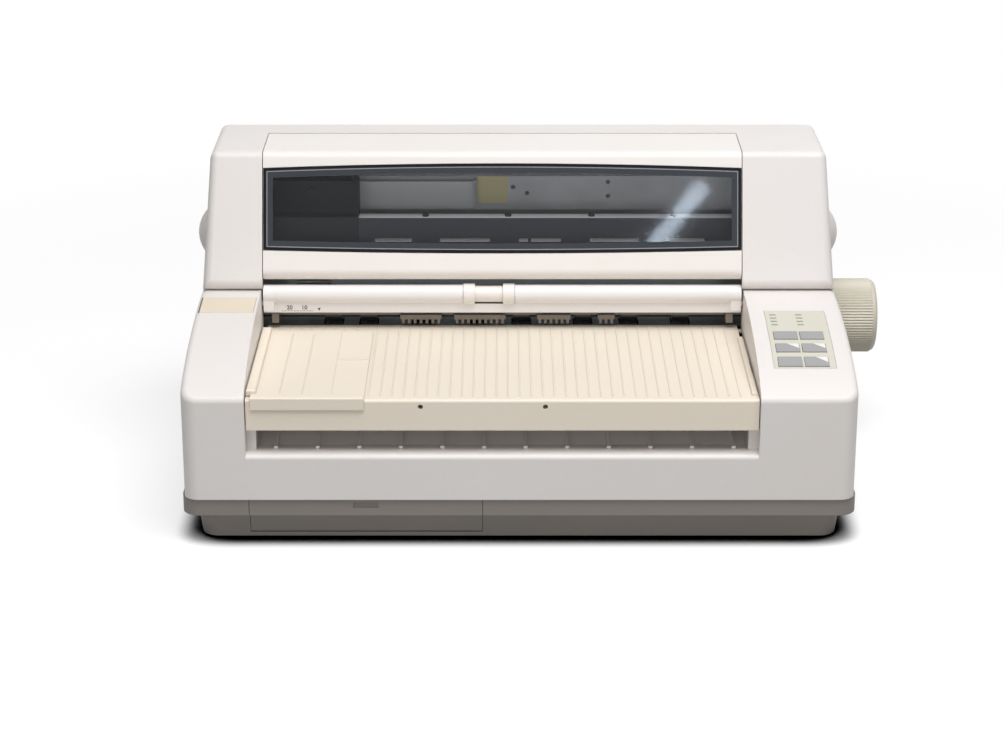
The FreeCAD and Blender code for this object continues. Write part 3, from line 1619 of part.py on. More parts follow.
def make_feed_motor():
    y, z = pinion_place()
    can = rod_along_x(frame_right_x - motor_length, frame_right_x, y, z, motor_radius)
    boss = rod_along_x(frame_right_x, frame_right_x + sheet_steel + motor_boss_length / 2, y, z,
                       motor_boss_radius - shaft_fit)
    hole = rod_along_x(frame_right_x - motor_length / 2, frame_right_x + sheet_steel + cut_overrun, y, z,
                       motor_shaft_radius + shaft_fit)
    return joined([can, boss]).cut(hole)


def make_pinion():
    y, z = pinion_place()
    wheel = [entry for entry in gear_train() if entry[0] == "motor_pinion"][0]
    body = gear(wheel[1], wheel[2], y, z, gear_left_x, gear_width)
    shaft = rod_along_x(frame_right_x - motor_length / 2, gear_left_x + gear_width + wall, y, z,
                        motor_shaft_radius)
    return joined([body, shaft])


def make_idler_post():
    """The steel post that carries the idler gear, riveted into the side frame."""
    y, z = idler_place()
    post = rod_along_x(frame_right_x, gear_left_x + gear_width + gear_hub_length + seat_gap, y, z,
                       motor_shaft_radius)
    clip = rod_along_x(gear_left_x + gear_width + gear_hub_length + seat_gap,
                       gear_left_x + gear_width + gear_hub_length + seat_gap + sheet_steel, y, z,
                       2 * motor_shaft_radius)
    return joined([post, clip])


def make_guide_rod():
    return rod_along_x(frame_left_x - wall, frame_right_x + sheet_steel + wall, rod_y, rod_z, rod_radius)


def make_carriage():
    block_x0 = carriage_left_x + cartridge_lip
    block_x1 = carriage_right_x - cartridge_lip
    body = block(block_x0, block_x1, carriage_front_y, carriage_rear_y, carriage_bottom_z, carriage_top_z)
    body = rounded(body, wall, lambda box: box.XLength > carriage_width / 2)
    head_room = block(carriage_mid_x - head_width / 2 - seat_gap, carriage_mid_x + head_width / 2 + seat_gap,
                      carriage_front_y - cut_overrun, head_rear_y + seat_gap, carriage_bottom_z - cut_overrun,
                      carriage_top_z - wall)
    rod_room = rod_along_x(block_x0 - cut_overrun, block_x1 + cut_overrun, rod_y, rod_z,
                           rod_radius + shaft_fit)
    clamp = block(carriage_mid_x - clamp_height, carriage_mid_x + clamp_height, carriage_rear_y,
                  belt_y + belt_width / 2, belt_z + pulley_radius + belt_thickness + belt_fit + seat_gap,
                  belt_z + pulley_radius + belt_thickness + belt_fit + clamp_height)
    rest = block(block_x0, block_x1, carriage_front_y, carriage_rear_y - wall, carriage_top_z,
                 cartridge_bottom_z)
    return joined([without(joined([body, rest]), [head_room, rod_room]), clamp])


def make_print_head():
    x0 = carriage_mid_x - head_width / 2
    x1 = carriage_mid_x + head_width / 2
    low = paper_z + head_nose_clearance
    nose_y = platen_y - head_nose_depth / 2
    shoulder = low + head_nose_height
    core = block(x0, x1, head_front_y + head_fin_proud / 2, head_rear_y, shoulder + head_nose_height,
                 carriage_top_z - wall - seat_gap)
    neck = prism_y(
        [
            (carriage_mid_x - head_nose_width / 2, low),
            (carriage_mid_x + head_nose_width / 2, low),
            (carriage_mid_x + head_nose_width / 2, shoulder),
            (x1 - wall, shoulder + head_nose_height),
            (x0 + wall, shoulder + head_nose_height),
            (carriage_mid_x - head_nose_width / 2, shoulder),
        ],
        nose_y,
        nose_y + head_nose_depth,
    )
    fins = []
    for index in range(head_fin_count):
        z = shoulder + head_nose_height + head_fin_thickness + index * head_fin_pitch
        fins.append(block(x0, x1, head_front_y - head_fin_proud / 2, head_front_y + head_fin_proud, z,
                          z + head_fin_thickness))
    return joined([core, neck] + fins)


def make_ribbon_cartridge():
    """The black ribbon box on the carriage, with round corners, a raised lid line and its winding boss."""
    body = block(carriage_left_x, carriage_right_x, cartridge_front_y, cartridge_rear_y, cartridge_bottom_z,
                 cartridge_top_z)
    body = rounded(body, cartridge_corner, lambda box: box.XLength < seat_gap and box.ZLength < seat_gap
                   and box.ZMin > cartridge_top_z - seat_gap)
    lip = block(carriage_left_x - cartridge_lip / 2, carriage_right_x + cartridge_lip / 2,
                cartridge_front_y - cartridge_lip / 2, cartridge_rear_y + cartridge_lip / 2,
                cartridge_bottom_z + cartridge_corner, cartridge_bottom_z + cartridge_corner + cartridge_lip)
    boss = rod_along_y(cartridge_front_y - cartridge_knob_height / 2, cartridge_front_y, carriage_mid_x,
                       cartridge_top_z - 2 * cartridge_knob_radius, cartridge_knob_radius)
    return joined([body, lip, boss])


def make_pulley(x):
    body = rod_along_y(belt_y - pulley_width / 2, belt_y + pulley_width / 2, x, belt_z, pulley_radius)
    flanges = []
    for y in (belt_y - pulley_width / 2 - pulley_flange_width, belt_y + pulley_width / 2):
        flanges.append(rod_along_y(y, y + pulley_flange_width, x, belt_z, pulley_radius + pulley_flange))
    return joined([body] + flanges)


def make_timing_belt():
    """The toothed belt as a closed loop round both pulleys."""
    inner = pulley_radius + belt_fit
    outer = inner + belt_thickness

    def loop(radius):
        ends = [
            rod_along_y(belt_y - belt_width / 2, belt_y + belt_width / 2, x, belt_z, radius)
            for x in (idler_pulley_x, drive_pulley_x)
        ]
        middle = block(idler_pulley_x, drive_pulley_x, belt_y - belt_width / 2, belt_y + belt_width / 2,
                       belt_z - radius, belt_z + radius)
        return joined(ends + [middle])

    return loop(outer).cut(loop(inner))


def make_carriage_motor():
    """The motor behind the drive pulley, its front plate bent back to the side frame."""
    front = belt_y + pulley_width / 2 + pulley_flange_width + seat_gap
    can = rod_along_y(front + sheet_steel, front + sheet_steel + carriage_motor_length, drive_pulley_x,
                      belt_z, carriage_motor_radius)
    plate = block(drive_pulley_x - carriage_motor_radius, frame_right_x, front, front + sheet_steel,
                  belt_z - carriage_motor_radius, belt_z + carriage_motor_radius)
    hole = rod_along_y(front - cut_overrun, front + carriage_motor_length / 2, drive_pulley_x, belt_z,
                       motor_shaft_radius + shaft_fit)
    return joined([can, plate]).cut(hole)


def make_drive_pulley():
    front = belt_y + pulley_width / 2
    shaft = rod_along_y(front, front + carriage_motor_shaft, drive_pulley_x, belt_z, motor_shaft_radius)
    return joined([make_pulley(drive_pulley_x), shaft])


def make_idler_bracket():
    """The bent plate that holds the idler pulley's pin off the left side frame."""
    y0 = belt_y + pulley_width / 2 + pulley_flange_width + seat_gap
    x0 = frame_left_x + sheet_steel
    plate = block(x0, idler_pulley_x + pulley_radius, y0, y0 + sheet_steel, belt_z - pulley_radius,
                  belt_z + pulley_radius)
    pin = rod_along_y(belt_y - pulley_width / 2, y0, idler_pulley_x, belt_z, motor_shaft_radius)
    return joined([plate, pin])


def make_idler_pulley():
    hole = rod_along_y(belt_y - pulley_width / 2 - cut_overrun, belt_y + pulley_width, idler_pulley_x, belt_z,
                       motor_shaft_radius + shaft_fit)
    return make_pulley(idler_pulley_x).cut(hole)


def make_head_cable():
    """The flat cable that loops from the cartridge carrier to the back plate, standing on edge."""
    start_x = carriage_right_x - cartridge_corner
    near_y = cartridge_rear_y + cartridge_lip + seat_gap
    far_y = back_plate_y - cable_thickness
    radius = (far_y - near_y) / 2 - cable_thickness
    bend_x = across_frames(cable_end_share) - radius
    near = block(start_x, bend_x, near_y, near_y + cable_thickness, cable_z, cable_z + cable_height)
    far = block(start_x, bend_x, far_y, far_y + cable_thickness, cable_z, cable_z + cable_height)
    middle_y = (near_y + far_y + cable_thickness) / 2
    bend_radius = (far_y - near_y) / 2
    outer = rod_along_z(cable_z, cable_z + cable_height, bend_x, middle_y, bend_radius + cable_thickness / 2)
    inner = rod_along_z(cable_z, cable_z + cable_height, bend_x, middle_y, bend_radius - cable_thickness / 2)
    half = block(bend_x, bend_x + body_width, near_y - cut_overrun, far_y + cut_overrun, cable_z,
                 cable_z + cable_height)
    return joined([near, outer.cut(inner).common(half), far])


def make_power_supply():
    z0 = chassis_z + sheet_steel
    y1 = frame_rear_y - wall
    y0 = y1 - supply_depth
    box = block(supply_left_x, supply_left_x + supply_width, y0, y1, z0, z0 + supply_height)
    cuts = []
    for index in range(supply_slot_count):
        x = supply_left_x + supply_slot_pitch * (index + 1)
        cuts.append(block(x, x + supply_slot_width, y0 + supply_slot_pitch, y1 - supply_slot_pitch,
                          z0 + supply_height - wall, z0 + supply_height + cut_overrun))
    return without(box, cuts)


def make_main_board():
    z0 = chassis_z + sheet_steel
    y1 = frame_rear_y - wall
    y0 = y1 - main_board_depth
    x1 = main_board_left_x + main_board_width
    board = block(main_board_left_x, x1, y0, y1, z0 + board_standoff, z0 + board_standoff + board_thickness)
    parts = [board]
    for x in (main_board_left_x + board_standoff, x1 - board_standoff):
        for y in (y0 + board_standoff, y1 - board_standoff):
            parts.append(rod_along_z(z0, z0 + board_standoff, x, y, wall))
    top = z0 + board_standoff + board_thickness
    for left, near, width, depth in chip_places_share:
        cx = main_board_left_x + left * main_board_width
        cy = y0 + near * main_board_depth
        parts.append(block(cx, cx + width * main_board_width, cy, cy + depth * main_board_depth, top,
                           top + chip_height))
    return joined(parts)


def make_mains_inlet():
    """The three pin mains socket set in the rear wall."""
    outer = block(inlet_x - inlet_width / 2 + seat_gap, inlet_x + inlet_width / 2 - seat_gap,
                  rear_y - inlet_depth, rear_y, inlet_z - inlet_height / 2 + seat_gap,
                  inlet_z + inlet_height / 2 - seat_gap)
    flange = block(inlet_x - inlet_width / 2 - inlet_flange, inlet_x + inlet_width / 2 + inlet_flange, rear_y,
                   rear_y + inlet_wall, inlet_z - inlet_height / 2 - inlet_wall,
                   inlet_z + inlet_height / 2 + inlet_wall)
    room = block(inlet_x - inlet_width / 2 + inlet_wall, inlet_x + inlet_width / 2 - inlet_wall,
                 rear_y - inlet_depth + inlet_wall, rear_y + inlet_wall + cut_overrun,
                 inlet_z - inlet_height / 2 + inlet_wall, inlet_z + inlet_height / 2 - inlet_wall)
    pins = []
    for dx, dz in ((-1, -1), (1, -1), (0, 1)):
        x = inlet_x + dx * inlet_pin_spacing
        z = inlet_z + dz * inlet_pin_height / 2
        pins.append(block(x - inlet_pin_width / 2, x + inlet_pin_width / 2,
                          rear_y - inlet_depth + inlet_wall / 2, rear_y - inlet_wall,
                          z - inlet_pin_height / 2, z + inlet_pin_height / 2))
    return joined([joined([outer, flange]).cut(room)] + pins)


def make_interface_port():
    """The wide computer socket in the rear wall, with its tongue and two side clips."""
    x0 = port_x - port_width / 2 + seat_gap
    x1 = port_x + port_width / 2 - seat_gap
    low = inlet_z - port_height / 2 + seat_gap
    high = inlet_z + port_height / 2 - seat_gap
    shell = block(x0, x1, rear_y - port_depth, rear_y, low, high)
    room = block(port_x - port_tongue_width / 2 - port_clip_thickness, port_x + port_tongue_width / 2
                 + port_clip_thickness, rear_y - port_depth + port_clip_thickness, rear_y + cut_overrun,
                 low + port_clip_thickness, high - port_clip_thickness)
    tongue = block(port_x - port_tongue_width / 2, port_x + port_tongue_width / 2, rear_y - port_depth, rear_y
                   - port_clip_thickness, inlet_z - port_tongue_height / 2, inlet_z + port_tongue_height / 2)
    clips = []
    for x in (x0, x1 - port_clip_thickness):
        clips.append(block(x, x + port_clip_thickness, rear_y, rear_y + port_clip_thickness, low, high))
    return joined([shell.cut(room), tongue] + clips)


def switch_pivot():
    return rear_y - switch_depth / 2, inlet_z


def make_switch_housing():
    outer = block(switch_x - switch_width / 2 + seat_gap, switch_x + switch_width / 2 - seat_gap,
                  rear_y - switch_depth - 2 * switch_bezel, rear_y, inlet_z - switch_height / 2 + seat_gap,
                  inlet_z + switch_height / 2 - seat_gap)
    half_width = switch_width / 2 + switch_bezel
    half_height = switch_height / 2 + switch_bezel
    flange = block(switch_x - half_width, switch_x + half_width, rear_y, rear_y + switch_bezel / 2,
                   inlet_z - half_height, inlet_z + half_height)
    room = block(switch_x - switch_width / 2 + switch_bezel, switch_x + switch_width / 2 - switch_bezel,
                 rear_y - switch_depth - switch_bezel, rear_y + cut_overrun,
                 inlet_z - switch_height / 2 + switch_bezel, inlet_z + switch_height / 2 - switch_bezel)
    y, z = switch_pivot()
    hole = rod_along_x(switch_x - switch_width, switch_x + switch_width, y, z, motor_shaft_radius + shaft_fit)
    return without(joined([outer, flange]), [room, hole])


def make_power_switch():
    """The rocker on its small pins, tipped to one side at rest."""
    y, z = switch_pivot()
    half = switch_height / 2 - switch_bezel - 3 * seat_gap
    face = rear_y + switch_bezel / 2
    dip = half * math.tan(math.radians(switch_tilt / 2))
    outline = [
        (y - switch_bezel / 2, z - half),
        (face, z - half),
        (face - dip, z),
        (face, z + half),
        (y - switch_bezel / 2, z + half),
    ]
    rocker = prism_x(outline, switch_x - switch_width / 2 + switch_bezel + seat_gap,
                     switch_x + switch_width / 2 - switch_bezel - seat_gap)
    pins = rod_along_x(switch_x - switch_width / 2 + seat_gap, switch_x + switch_width / 2 - seat_gap, y, z,
                       motor_shaft_radius)
    rocker = joined([rocker, pins])
    rocker.rotate(Vec(switch_x, y, z), Vec(1, 0, 0), -switch_tilt / 2)
    return rocker


def nodes():
    """Every sub part by name, as a solid or a list of separate solids."""
    made = {
        "base_tray": make_base_tray(),
        "base_door": make_base_door(),
        "rubber_feet": make_feet(),
        "lower_case": make_lower_case(),
        "upper_case": make_upper_case(),
        "side_caps": [make_side_cap(-1), make_side_cap(1)],
        "front_cover": make_front_cover(),
        "cover_window": make_cover_window(),
        "paper_guide_bar": make_paper_guide_bar(),
        "bar_handle": make_bar_handle(),
        "bar_end_caps": make_bar_caps(),
        "paper_table": make_paper_table(),
        "edge_guide": make_edge_guide(),
        "front_chute": make_front_chute(),
        "control_sheet": make_control_sheet(),
        "indicator_lamps": make_lamps(),
        "control_board": make_control_board(),
        "blank_plate": make_blank_plate(),
        "chassis_plate": make_chassis_plate(),
        "side_frame_left": make_side_frame(-1),
        "side_frame_right": make_side_frame(1),
        "front_beam": make_front_beam(),
        "beam_screws": make_beam_screws(),
        "back_plate": make_back_plate(),
        "paper_bed": make_paper_bed(),
        "paper_combs": make_paper_combs(),
        "shaft_bushes": make_bushes(),
        "platen_roller": make_platen_roller(),
        "platen_shaft": make_platen_shaft(),
        "platen_knob": make_platen_knob(),
        "feed_shaft": make_feed_shaft(),
        "feed_rollers": make_feed_rollers(),
        "pinch_rollers": make_pinch_rollers(),
        "feed_motor": make_feed_motor(),
        "motor_pinion": make_pinion(),
        "interface_port": make_interface_port(),
        "guide_rod": make_guide_rod(),
        "carriage": make_carriage(),
        "print_head": make_print_head(),
        "ribbon_cartridge": make_ribbon_cartridge(),
        "timing_belt": make_timing_belt(),
        "drive_pulley": make_drive_pulley(),
        "idler_pulley": make_idler_pulley(),
        "idler_bracket": make_idler_bracket(),
        "carriage_motor": make_carriage_motor(),
        "head_cable": make_head_cable(),
        "power_supply": make_power_supply(),
        "main_board": make_main_board(),
        "mains_inlet": make_mains_inlet(),
        "switch_housing": make_switch_housing(),
        "power_switch": make_power_switch(),
    }
    for name, teeth, phase, place, shaft in gear_train():
        if name != "motor_pinion":
            made[name] = gear_with_bore(teeth, phase, place[0], place[1], shaft)
    for index, place in enumerate(key_places()):
        made["key_%d" % (index + 1)] = make_key(place)
    return made


def main():
    os.makedirs("parts", exist_ok=True)
    made = nodes()
    whole = FreeCAD.BoundBox()
    shapes = {}
    for name, solids in made.items():
        shape = Part.makeCompound(solids) if isinstance(solids, list) else solids
        shapes[name] = shape
        whole.add(shape.BoundBox)
    shift = Vec(-(whole.XMin + whole.XMax) / 2, -(whole.YMin + whole.YMax) / 2, 0)
    print("origin shift", shift, "whole size", whole.XLength, whole.YLength, whole.ZLength)
    for name, shape in shapes.items():
        shape.translate(shift)
        shape.exportStep("parts/" + name + ".step")


main()
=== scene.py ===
import math
from typing import NamedTuple

import bmesh
import bpy
from bpy.props import FloatProperty, FloatVectorProperty, PointerProperty
from mathutils import Matrix, Vector


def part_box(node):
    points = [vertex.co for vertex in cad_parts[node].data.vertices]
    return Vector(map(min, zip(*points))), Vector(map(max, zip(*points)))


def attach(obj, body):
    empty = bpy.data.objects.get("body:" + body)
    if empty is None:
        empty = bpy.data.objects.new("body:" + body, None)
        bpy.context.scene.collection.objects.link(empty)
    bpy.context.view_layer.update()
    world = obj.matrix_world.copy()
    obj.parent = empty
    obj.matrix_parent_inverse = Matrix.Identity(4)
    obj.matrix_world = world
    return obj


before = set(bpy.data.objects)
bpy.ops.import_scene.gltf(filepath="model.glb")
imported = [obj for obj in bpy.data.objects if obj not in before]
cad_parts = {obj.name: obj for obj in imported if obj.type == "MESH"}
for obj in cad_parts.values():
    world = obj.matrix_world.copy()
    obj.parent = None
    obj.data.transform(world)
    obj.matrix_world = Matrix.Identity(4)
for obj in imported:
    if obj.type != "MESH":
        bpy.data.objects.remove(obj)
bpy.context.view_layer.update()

bl_info = {
    "name": "Flat Bed Printer Finish",
    "version": (1, 0, 0),
    "blender": (4, 5, 0),
    "location": "3D View > Sidebar > Printer",
    "description": "Dresses the packed flat bed printer with its finishes and printed details",
    "category": "Object",
}

MM = 0.001
UP = Vector((0.0, 0.0, 1.0))
FORWARD = Vector((0.0, -1.0, 0.0))

# Edges between faces that meet at less than this angle, in degrees, are shaded smooth.
SMOOTH_ANGLE = 32.0
KNOB_SMOOTH_ANGLE = 24.0

WINDOW_LEAN = math.radians(20.0)
WINDOW_ARC_STEPS = 24

# The scale counts text columns down to the pointer, and its strokes stop some columns before it.
POINTER_COLUMN = 25
STROKE_COUNT = 21
SCALE_NUMBERS = (20, 10)
NUMBER_STEP = 10
LONG_STROKE = 1.6
NUMERAL_RISE = 1.8
NUMERAL_SIZE = 1.35

KEY_COUNT = 6
CORNERED_KEYS = (3, 4, 6)

# Places taken from the frame. The case gives the middle line and the front of the printer.
CASE_LOW, CASE_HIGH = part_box("lower_case")
MIDDLE_X = (CASE_LOW.x + CASE_HIGH.x) / 2
FRONT_Y = CASE_LOW.y


class Lamp(NamedTuple):
    """An area lamp: its place and size in metres, its turn about its own aim in degrees and its power's setting."""

    name: str
    place: tuple
    size: tuple
    turn: float
    colour: tuple
    power: str


WHITE = (1.0, 1.0, 1.0)
LAMP_TARGET = Vector((MIDDLE_X, 0.0, 0.15))
LAMPS = (
    Lamp("key_lamp", (MIDDLE_X + 0.35, -0.85, 2.4), (2.2, 1.5), 0.0, WHITE, "key_power"),
    Lamp("front_lamp", (MIDDLE_X - 0.3, -2.7, 0.62), (1.8, 0.5), 0.0, WHITE, "front_power"),
    Lamp("tube_lamp", (MIDDLE_X + 0.315, -2.4, 1.275), (0.03, 0.21), -43.0, (0.72, 0.84, 1.0), "tube_power"),
)


def colour_setting(name, description, default):
    return FloatVectorProperty(
        name=name, description=description, default=default, size=3, min=0.0, max=1.0, subtype="COLOR"
    )


def size_setting(name, description, millimetres):
    return FloatProperty(
        name=name, description=description, default=millimetres * MM, min=0.0, unit="LENGTH", precision=5
    )


class PrinterColours(bpy.types.PropertyGroup):
    """Colours of the moulded, printed and metal surfaces"""

    case: colour_setting("Case", "Warm white of the two case mouldings", (0.80, 0.765, 0.75))
    cover: colour_setting("Cover", "White of the front cover and of the bar's grip", (0.85, 0.81, 0.785))
    bar: colour_setting("Bar", "White of the paper guide bar", (0.85, 0.82, 0.815))
    tower: colour_setting("Tower", "White of the upper case", (0.78, 0.745, 0.73))
    base: colour_setting("Base", "Grey brown of the base moulding", (0.235, 0.213, 0.195))
    table: colour_setting("Table", "Cream of the paper table", (0.86, 0.775, 0.655))
    blank: colour_setting("Blank", "Cream of the blank plate", (0.775, 0.675, 0.535))
    knob: colour_setting("Knob", "Greenish beige of the hand knob", (0.61, 0.58, 0.48))
    aged: colour_setting("Aged", "Yellowed tint that old plastic drifts to", (0.72, 0.63, 0.47))
    # Grime colour: specks of dirt, and the tint of the painted shade in the mouldings' corners.
    grime: colour_setting("Grime", "Dust and grease that settles in corners", (0.22, 0.19, 0.155))
    smoke: colour_setting("Smoke", "Smoked acrylic of the window", (0.020, 0.024, 0.032))
    mask: colour_setting("Mask", "Black print round the window", (0.008, 0.008, 0.010))
    # Painted highlight: the light line stands for the lit edge of the window's opening.
    rim: colour_setting("Rim", "Thin light line inside the window's black edge", (0.27, 0.28, 0.30))
    shade: colour_setting("Shade", "Dark print from the line to the see-through part", (0.036, 0.041, 0.050))
    sheet: colour_setting("Sheet", "Printed film of the control panel", (0.66, 0.64, 0.55))
    key: colour_setting("Key", "Grey of the keys", (0.35, 0.35, 0.355))
    # The ink colour is also the painted shade in the gap beside the blank plate.
    ink: colour_setting("Ink", "Dark print of scales and lines", (0.05, 0.05, 0.055))
    lamp: colour_setting("Lamp", "Unlit lamp lens", (0.36, 0.40, 0.30))
    steel: colour_setting("Steel", "Zinc plated sheet steel", (0.52, 0.55, 0.58))
    plate: colour_setting("Plate", "Bluish passivated steel behind the window", (0.80, 0.84, 0.90))
    bed: colour_setting("Bed", "Dark greenish steel of the paper bed", (0.16, 0.19, 0.19))
    beam: colour_setting("Beam", "Dark paint of the front beam", (0.045, 0.048, 0.056))
    bright: colour_setting("Bright steel", "Ground shafts and screws", (0.66, 0.67, 0.68))
    black: colour_setting("Black", "Black mouldings and rubber", (0.014, 0.014, 0.016))
    chute: colour_setting("Chute", "Light grey of the ribbed chute", (0.90, 0.885, 0.87))
    comb: colour_setting("Comb", "Grey brown of the paper combs", (0.22, 0.19, 0.16))
    gear: colour_setting("Gear", "Natural acetal of the gears", (0.72, 0.71, 0.66))
    coated: colour_setting("Coated steel", "Black coat of motors and screws", (0.05, 0.05, 0.055))
    alloy: colour_setting("Alloy", "Cast alloy of the print head", (0.42, 0.43, 0.44))
    fibre: colour_setting("Fibre", "Paper fibre that settles on rubber", (0.30, 0.29, 0.27))
    board: colour_setting("Board", "Green circuit board lacquer", (0.02, 0.10, 0.045))
    bronze: colour_setting("Bronze", "Sintered bronze bushes", (0.40, 0.26, 0.12))
    film: colour_setting("Cable film", "White flat cable film", (0.86, 0.90, 0.95))
    tape: colour_setting("Tape", "Yellow tape beside the flat cable", (0.98, 0.92, 0.54))
    paper: colour_setting("Paper", "Floor, as it throws light on the printer", (0.36, 0.36, 0.36))
    paper_grain: colour_setting("Paper grain", "Darker grain of the floor", (0.35, 0.35, 0.35))
    sky: colour_setting("Sky", "Even room light", (0.97, 0.98, 1.0))


class PrinterFinish(bpy.types.PropertyGroup):
    """Grain, wear and gloss"""

    grain: size_setting("Grain", "Size of the moulded texture's grain", 0.9)
    grain_depth: size_setting("Grain depth", "Height of the moulded texture", 0.035)
    edge: size_setting("Edge", "Radius that softens the edges of the mouldings", 0.6)
    # Reach of the dust and painted shade in corners.
    corner_dust: size_setting("Corner dust", "How far grime reaches out of a corner", 7.0)
    roughness: FloatProperty(name="Roughness", description="Roughness of the mouldings", default=0.46, min=0.0, max=1.0)
    ageing: FloatProperty(name="Ageing", description="Share of yellowed tint", default=0.16, min=0.0, max=1.0)


class PrinterSizes(bpy.types.PropertyGroup):
    """Sizes of the pieces that only the finish adds"""

    film_lift: size_setting("Film lift", "Distance of printed films from the face under them", 0.05)
    mask_inset: size_setting("Mask inset", "Bare edge of the window outside the black print", 0.3)
    mask_width: size_setting("Mask width", "Width of the black print round the window", 3.2)
    # Width of the painted highlight line.
    rim_width: size_setting("Rim width", "Width of the thin light line", 0.8)
    ledge_width: size_setting("Ledge width", "Width of the cover's ledge behind the window", 9.3)
    pane_thickness: size_setting("Pane thickness", "Thickness of the smoked window", 2.0)
    mask_thickness: size_setting("Mask thickness", "Thickness of printed films", 0.12)
    window_low_end: size_setting("Window low end", "Window's lower edge at its ends, up the slope", 40.1)
    window_low_middle: size_setting("Window low middle", "Window's lower edge in the middle", 37.2)
    window_high_end: size_setting("Window high end", "Window's upper edge at its ends", 118.0)
    window_high_middle: size_setting("Window high middle", "Window's upper edge in the middle", 122.3)
    flange_setback: size_setting("Flange setback", "Printed flange's place behind the bar's front", 4.75)
    scale_margin: size_setting("Scale margin", "Scale's height above the flange's edge", 1.2)
    scale_start: size_setting("Scale start", "First stroke's place from the bar's end", 4.4)
    plate_gap: size_setting("Plate gap", "Width of the gap beside the blank plate", 1.1)
    column: size_setting("Column", "Distance from stroke to stroke", 1.4)
    tick_height: size_setting("Tick height", "Height of the scale's strokes", 1.1)
    tick_width: size_setting("Tick width", "Width of the scale's strokes", 0.36)
    digit_weight: size_setting("Digit weight", "Thickening of the numerals' strokes", 0.1)
    digit_height: size_setting("Digit height", "Height of the scale's numerals", 4.2)
    tape_gap: size_setting("Tape gap", "Tape's place beyond the flat cable", 0.5)
    tape_width: size_setting("Tape width", "Width of the yellow tape beside the flat cable", 30.0)


class PrinterStage(bpy.types.PropertyGroup):
    """Camera, floor and light"""

    focal_length: FloatProperty(name="Focal length", description="Camera lens", default=91.92, min=1.0, unit="CAMERA")
    pitch: FloatProperty(
        name="Pitch", description="How far the camera looks down", default=math.radians(20.0), subtype="ANGLE"
    )
    camera_side: size_setting("Camera side", "Camera's place left of the case's middle", 15.4)
    camera_back: size_setting("Camera back", "Camera's distance in front of the case", 2112.3)
    camera_height: size_setting("Camera height", "Camera's height above the floor", 928.0)
    floor_size: size_setting("Floor size", "Width of the floor and backdrop", 9000.0)
    key_power: FloatProperty(name="Key power", description="Power of the lamp above the front", default=63.0, min=0.0)
    front_power: FloatProperty(name="Front power", description="Power of the low lamp in front", default=11.0, min=0.0)
    tube_power: FloatProperty(name="Tube power", description="Power of the tube in the window", default=0.65, min=0.0)
    sky: FloatProperty(name="Sky", description="Strength of the even room light", default=0.15, min=0.0)
    shadow: FloatProperty(name="Shadow", description="Share of the floor's tone that shades", default=0.45, min=0.0)
    shadow_level: FloatProperty(name="Shadow level", description="Light on the open floor", default=0.78, min=0.0)
    shadow_reach: size_setting("Shadow reach", "Distance at which the floor is plain white", 1200.0)
    contact_reach: size_setting("Contact reach", "How far the dark shadow at the feet reaches", 28.0)


def settings(group):
    return getattr(bpy.context.scene, "printer_" + group)


def node_of(tree, kind, **values):
    made = tree.nodes.new(kind)
    for name, value in values.items():
        setattr(made, name, value)
    return made


def set_inputs(made, **values):
    for name, value in values.items():
        made.inputs[name.replace("_", " ")].default_value = value


def rgba(colour):
    return (colour[0], colour[1], colour[2], 1.0)


def scaled(colour, share):
    return [channel * share for channel in colour]


def new_material(name):
    material = bpy.data.materials.new(name)
    material.use_nodes = True
    tree = material.node_tree
    return material, tree, tree.nodes["Principled BSDF"]


def object_coordinates(tree):
    return node_of(tree, "ShaderNodeTexCoord").outputs["Object"]


def noise_texture(tree, coordinates, scale, detail=3.0, roughness=0.55):
    made = node_of(tree, "ShaderNodeTexNoise")
    set_inputs(made, Scale=scale, Detail=detail, Roughness=roughness)
    tree.links.new(coordinates, made.inputs["Vector"])
    return made.outputs["Fac"]


def stretched(tree, coordinates, scale):
    made = node_of(tree, "ShaderNodeMapping")
    made.inputs["Scale"].default_value = scale
    tree.links.new(coordinates, made.inputs["Vector"])
    return made.outputs["Vector"]


def remapped(tree, value, low, high, to_low=0.0, to_high=1.0):
    made = node_of(tree, "ShaderNodeMapRange", clamp=True)
    tree.links.new(value, made.inputs["Value"])
    for index, number in enumerate((low, high, to_low, to_high), start=1):
        made.inputs[index].default_value = number
    return made.outputs["Result"]


def mixed(tree, factor, first, second):
    """Mixes two colours, each a socket or a plain colour, by a socket or a number."""
    made = node_of(tree, "ShaderNodeMix", data_type="RGBA")
    for socket, value in ((made.inputs[0], factor), (made.inputs[6], first), (made.inputs[7], second)):
        if isinstance(value, bpy.types.NodeSocket):
            tree.links.new(value, socket)
        elif socket.type == "RGBA":
            socket.default_value = rgba(value)
        else:
            socket.default_value = value
    return made.outputs[2]


def product(tree, first, second):
    made = node_of(tree, "ShaderNodeMath", operation="MULTIPLY")
    tree.links.new(first, made.inputs[0])
    if isinstance(second, bpy.types.NodeSocket):
        tree.links.new(second, made.inputs[1])
    else:
        made.inputs[1].default_value = second
    return made.outputs[0]


def looked_at(tree):
    """One for rays that look at a surface straight, in a mirror or through glass, and zero for light."""
    path = node_of(tree, "ShaderNodeLightPath")
    total = path.outputs["Is Camera Ray"]
    for name in ("Is Glossy Ray", "Is Transmission Ray"):
        either = node_of(tree, "ShaderNodeMath", operation="MAXIMUM")
        tree.links.new(total, either.inputs[0])
        tree.links.new(path.outputs[name], either.inputs[1])
        total = either.outputs[0]
    return total


def bumped(tree, height, distance, strength=1.0, edge=0.0):
    """A normal from a height, on edges that a small bevel rounds."""
    made = node_of(tree, "ShaderNodeBump")
    set_inputs(made, Strength=strength, Distance=distance)
    tree.links.new(height, made.inputs["Height"])
    if edge:
        bevel = node_of(tree, "ShaderNodeBevel", samples=4)
        set_inputs(bevel, Radius=edge)
        tree.links.new(bevel.outputs["Normal"], made.inputs["Normal"])
    return made.outputs["Normal"]


